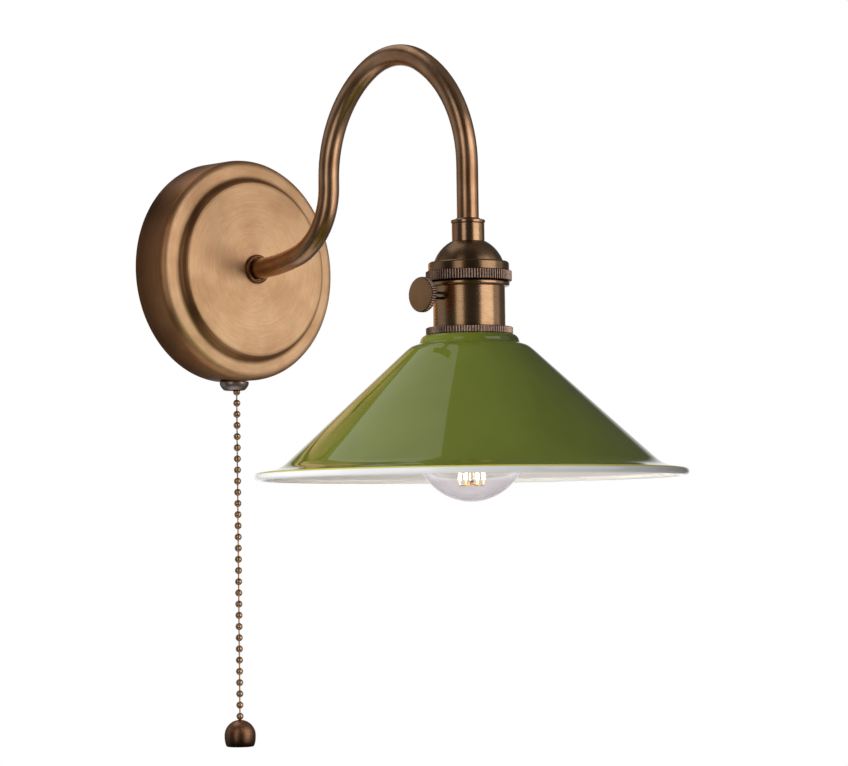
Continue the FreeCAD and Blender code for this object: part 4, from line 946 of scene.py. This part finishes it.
# ---------------- pieces that keep the CAD shape
def smooth_copy(node):
    """The CAD node's own shape with its triangles welded and its round faces smooth."""
    piece = twin_of(frame["nodes"][node])
    piece.name = piece.data.name = node + "_skin"
    open_piece(piece)
    bpy.ops.mesh.select_all(action="SELECT")
    bpy.ops.mesh.remove_doubles(threshold=0.0005 * MM)
    bpy.ops.object.mode_set(mode="OBJECT")
    bpy.ops.object.shade_smooth_by_angle(angle=math.radians(35))
    # slivers in a flat face would otherwise tilt its shading
    even = piece.modifiers.new("even", "WEIGHTED_NORMAL")
    even.mode = "FACE_AREA"
    even.keep_sharp = True
    bpy.ops.object.modifier_apply(modifier=even.name)
    return piece


KEPT = [
    # body, slot, finish, nodes
    ("root", "zinc_steel", zinc, ["wall_bracket", "canopy_hook", "bracket_screws", "block_screws",
                                  "m10_nipples", "arm_lock_washer"]),
    ("root", "antique_copper", trim_plating, ["canopy_screw"]),
    ("root", "antique_brass", trim_plating, ["shade_clamp"]),
    ("root", "white_nylon", white_nylon, ["terminal_block"]),
    ("root", "bare_brass", bare_brass, [
        "block_inserts", "m10_lock_nuts", "switch_bushing", "switch_contacts", "cover_screws",
        "lamp_screw_shell", "centre_contact", "key_contacts"]),
    ("root", "black_flex", black_sheath, ["arm_flex"]),
    ("root", "lead_brown", brown_lead, ["live_lead", "switched_core", "holder_leads"]),
    ("root", "lead_blue", blue_lead, ["neutral_core"]),
    ("root", "lead_green", green_lead, ["earth_lead"]),
    ("root", "black_phenolic", black_phenolic, ["switch_case", "switch_cover", "holder_core",
                                                "core_cover"]),
    ("root", "spring_steel", spring_steel, ["ratchet_axle"]),
    ("root", "fibre_liner", fibre, ["holder_liner"]),
    ("root", "nickel_cap", nickel, ["bulb_cap"]),
    ("root", "black_glass", black_glass, ["bulb_insulator"]),
    ("root", "solder_tin", solder, ["bulb_tip"]),
    ("root", "bulb_clear_glass", bulb_glass_finish, ["bulb_stem"]),
    ("root", "bare_brass", gilt_wire, ["bulb_wires"]),
    ("pull", "white_nylon", white_nylon, ["pull_slider"]),
    ("ratchet", "white_nylon", white_nylon, ["ratchet_wheel"]),
    ("key", "black_phenolic", black_phenolic, ["key_rotor"]),
]


# ---------------- assembly
finish_piece(canopy(), "root", "antique_copper", copper_canopy, "canopy")
finish_piece(arm(), "root", "antique_copper", copper_tube, "arm_tube")
finish_piece(ferrule(), "root", "antique_copper", trim_plating, "arm_ferrule")
finish_piece(neck_collar(), "root", "antique_brass", brass_holder, "neck_collar")
finish_piece(holder_cap(), "root", "antique_brass", brass_cap, "holder_cap")
finish_piece(knurled_ring("cap_ring_skin", CAP_RING_R, SHELL_NECK_R + SEAT_GAP, CAP_RING_FOOT,
                          FLANGE_FOOT), "root", "antique_brass", brass_knurl, "cap_ring")
finish_piece(holder_shell(), "root", "antique_brass", brass_holder, "holder_shell")
finish_piece(knurled_ring("shade_ring_skin", SHADE_RING_R, SHELL_R + SEAT_GAP, SHADE_TOP,
                          SHADE_RING_TOP), "root", "antique_brass", brass_knurl, "shade_ring")
finish_piece(key_knob(), "key", "antique_brass", None, "key_knob")
finish_piece(key_shaft(), "key", "antique_brass", key_steel, "key_shaft")
finish_piece(shade(), "root", "green_enamel", None, "shade")
finish_piece(bulb_glass(), "root", "bulb_clear_glass", bulb_glass_finish, "bulb_glass")
finish_piece(bulb_filaments(), "root", "filament_phosphor", filament_glow, "bulb_filaments")

bead_model, link_model = bead(), link()
for node, model, start, count, body in [
        ("swing_bead", bead_model, 0, 1, "swing"),
        ("chain_beads", bead_model, 1, HANGING_BEADS, "chain"),
        ("chain_links", link_model, 0, HANGING_BEADS + 1, "chain")]:
    finish_piece(chain_run(node + "_skin", model, start, count), body, "chain_brass",
                 chain_plating, node)
upper = [chain_run("upper_beads", bead_model, -UPPER_BEADS, UPPER_BEADS),
         chain_run("upper_links", link_model, -UPPER_BEADS, UPPER_BEADS)]
finish_piece(join_pieces("upper_chain_skin", upper), "pull", "chain_brass", chain_plating,
             "upper_chain")
for model in (bead_model, link_model):
    bpy.data.objects.remove(model)
finish_piece(pull_ball(), "chain", "antique_copper", ball_plating, "pull_ball")
finish_piece(bell_nut(), "root", "gunmetal_nickel", gunmetal, "bell_nut")

for body, slot, finish, nodes in KEPT:
    for node in nodes:
        finish_piece(smooth_copy(node), body, slot, finish, node)

spring = frame["nodes"]["return_spring"].data
spring.materials.clear()
spring.materials.append(spring_steel)


# ---------------- camera
IMAGE_WIDTH = 848.0
CAMERA_AZIMUTH = -42.74
CAMERA_PITCH = 3.09                        # looking up
CAMERA_ROLL = -0.77
CAMERA_PLACE = Vector((-1089.9, -1341.0, -154.9))
FOCAL_PIXELS = 3153.0


def camera():
    data = bpy.data.cameras.new("camera")
    data.sensor_width = 36.0
    data.lens = FOCAL_PIXELS / IMAGE_WIDTH * data.sensor_width
    data.clip_end = 50.0
    made = bpy.data.objects.new("camera", data)
    bpy.context.scene.collection.objects.link(made)
    azimuth, pitch, roll = (math.radians(a) for a in (CAMERA_AZIMUTH, CAMERA_PITCH, CAMERA_ROLL))
    forward = Vector((-math.sin(azimuth) * math.cos(pitch), math.cos(azimuth) * math.cos(pitch),
                      math.sin(pitch)))
    right = forward.cross(Vector((0, 0, 1))).normalized()
    up = right.cross(forward)
    rolled_right = right * math.cos(roll) + up * math.sin(roll)
    rolled_up = up * math.cos(roll) - right * math.sin(roll)
    axes = Matrix((rolled_right, rolled_up, -forward)).transposed().to_4x4()
    made.matrix_world = Matrix.Translation(CAMERA_PLACE * MM) @ axes
    bpy.context.scene.camera = made


# ---------------- studio
FLOOR_HEIGHT = -1600.0
FLOOR_R = 1300.0
TO_CAMERA = Vector((math.sin(math.radians(CAMERA_AZIMUTH)),
                    -math.cos(math.radians(CAMERA_AZIMUTH)), 0))
TO_RIGHT = Vector((-TO_CAMERA.y, TO_CAMERA.x, 0))
AIM = Vector((0, -110, -60))


def studio_spot(turn, height, distance):
    """A place round the lamp: turn in degrees to the right of the camera, height in degrees."""
    flat = TO_CAMERA * math.cos(math.radians(turn)) + TO_RIGHT * math.sin(math.radians(turn))
    way = flat * math.cos(math.radians(height)) + Vector((0, 0, math.sin(math.radians(height))))
    return AIM + way * distance


def new_light(name, kind, place, power):
    """A light at a place in millimetres."""
    made = bpy.data.objects.new(name, bpy.data.lights.new(name, kind))
    bpy.context.scene.collection.objects.link(made)
    made.location = place * MM
    made.data.energy = power
    return made


def new_panel(name, place, wide, tall, radiance):
    """A rectangular light; radiance 1 is white."""
    made = new_light(name, "AREA", place, radiance * math.pi * wide * tall * MM * MM)
    made.data.shape = "RECTANGLE"
    made.data.size, made.data.size_y = wide * MM, tall * MM
    return made


def soft_box(name, turn, height, distance, wide, tall, radiance, on_matte=True):
    """A panel that faces the lamp."""
    spot = studio_spot(turn, height, distance)
    made = new_panel(name, spot, wide, tall, radiance)
    made.rotation_euler = (AIM - spot).to_track_quat("-Z", "Y").to_euler()
    made.visible_diffuse = on_matte


def ceiling_box(name, left, right, near, far, height, radiance):
    """A level panel over the lamp, its edges given to the right of and behind the lamp's axis."""
    spot = (LAMP_AXIS + TO_RIGHT * (left + right) / 2 - TO_CAMERA * (near + far) / 2
            + along(Z, height))
    made = new_panel(name, spot, right - left, far - near, radiance)
    made.rotation_euler = (0, 0, math.atan2(TO_RIGHT.y, TO_RIGHT.x))


def bulb_glow(power):
    """The lit bulb's light on the shade's inside; its glass would hold back the strips' own."""
    made = new_light("bulb glow", "POINT", LAMP_AXIS + along(Z, BULB_FOOT + BULB_R), power)
    made.data.shadow_soft_size = BULB_R * 1.1 * MM
    made.data.color = colour("#FFE9CC")[:3]
    made.visible_camera = made.visible_glossy = made.visible_transmission = False


def floor():
    """A pale floor that fades into the white round it."""
    select_only()
    bpy.ops.mesh.primitive_circle_add(vertices=64, radius=FLOOR_R * MM, fill_type="NGON",
                                      location=(0, 0, FLOOR_HEIGHT * MM))
    made = bpy.context.object
    made.name = "studio_floor"
    paint, tree, shader = new_material("pale floor paint", Roughness=0.9)
    place = object_place(tree)
    grain = noise(tree, place, 60.0, detail=3.0)
    radius = add_node(tree, "VectorMath", {"operation": "LENGTH"}, {"Vector": place})
    fade = add_node(tree, "MapRange", {"interpolation_type": "SMOOTHSTEP"}, {
        "Value": radius.outputs["Value"], "From Min": FLOOR_R * 0.98, "From Max": FLOOR_R * 0.4})
    join_up(tree, shader, Base_Color=blend_colours(tree, grain, "#ECECEC", "#EFEFEF"),
            Alpha=fade.outputs["Result"])
    made.data.materials.append(paint)


# light of the room by direction, (share, strength): 0 is behind the camera and 1 behind the lamp
GLOSS_LIGHT = [(0.0, 0.04), (0.3, 0.05), (0.45, 0.15), (0.6, 0.15), (0.96, 0.08), (0.995, 1.0)]
# 0 is the left side and 1 the right side
MATTE_LIGHT = [(0.0, 1.5), (0.5, 0.62), (1.0, 0.0)]


def world():
    """White where the camera looks. Metal sees a dim room with dark bands, and matte surfaces
    get more light from the left than from the right."""
    made = bpy.data.worlds.new("studio")
    bpy.context.scene.world = made
    made.use_nodes = True
    tree = made.node_tree
    tree.nodes.clear()
    output = add_node(tree, "OutputWorld")
    ray = add_node(tree, "LightPath")
    where = add_node(tree, "TexCoord")
    strengths = []
    for way, stops in ((-TO_CAMERA, GLOSS_LIGHT), (TO_RIGHT, MATTE_LIGHT)):
        facing = add_node(tree, "VectorMath", {"operation": "DOT_PRODUCT"}, {
            0: where.outputs["Generated"], 1: way})
        share = ranged(tree, facing.outputs["Value"], -1.0, 1.0)
        ramp = add_node(tree, "ValToRGB", links={"Fac": share})
        marks = ramp.color_ramp.elements
        while len(marks) < len(stops):
            marks.new(0.5)
        for mark, (position, strength) in zip(marks, stops):
            mark.position, mark.color = position, (strength,) * 3 + (1,)
        strengths.append(ramp.outputs["Color"])
    seen = maths(tree, "MAXIMUM", ray.outputs["Is Camera Ray"],
                 ray.outputs["Is Transmission Ray"])
    glossy = maths(tree, "MULTIPLY", ray.outputs["Is Glossy Ray"], strengths[0])
    matte = maths(tree, "MULTIPLY", ray.outputs["Is Diffuse Ray"], strengths[1])
    total = maths(tree, "MAXIMUM", seen, maths(tree, "ADD", glossy, matte))
    light = add_node(tree, "Background", links={"Color": (1, 1, 1, 1), "Strength": total})
    tree.links.new(light.outputs["Background"], output.inputs["Surface"])


camera()
floor()
world()
soft_box("right strip", turn=59, height=6, distance=1500, wide=1200, tall=2000, radiance=1.7,
         on_matte=False)
soft_box("right wing", turn=97, height=6, distance=1500, wide=600, tall=2000, radiance=0.36,
         on_matte=False)
soft_box("left strip", turn=-28, height=8, distance=1600, wide=640, tall=2200, radiance=1.1)
bulb_glow(power=2.0)
soft_box("left wing", turn=-102, height=0, distance=1600, wide=1200, tall=2200, radiance=0.18)
ceiling_box("ceiling box", left=-1000, right=-200, near=-20, far=1500, height=1300,
            radiance=0.65)
bpy.context.scene.view_settings.view_transform = "Standard"
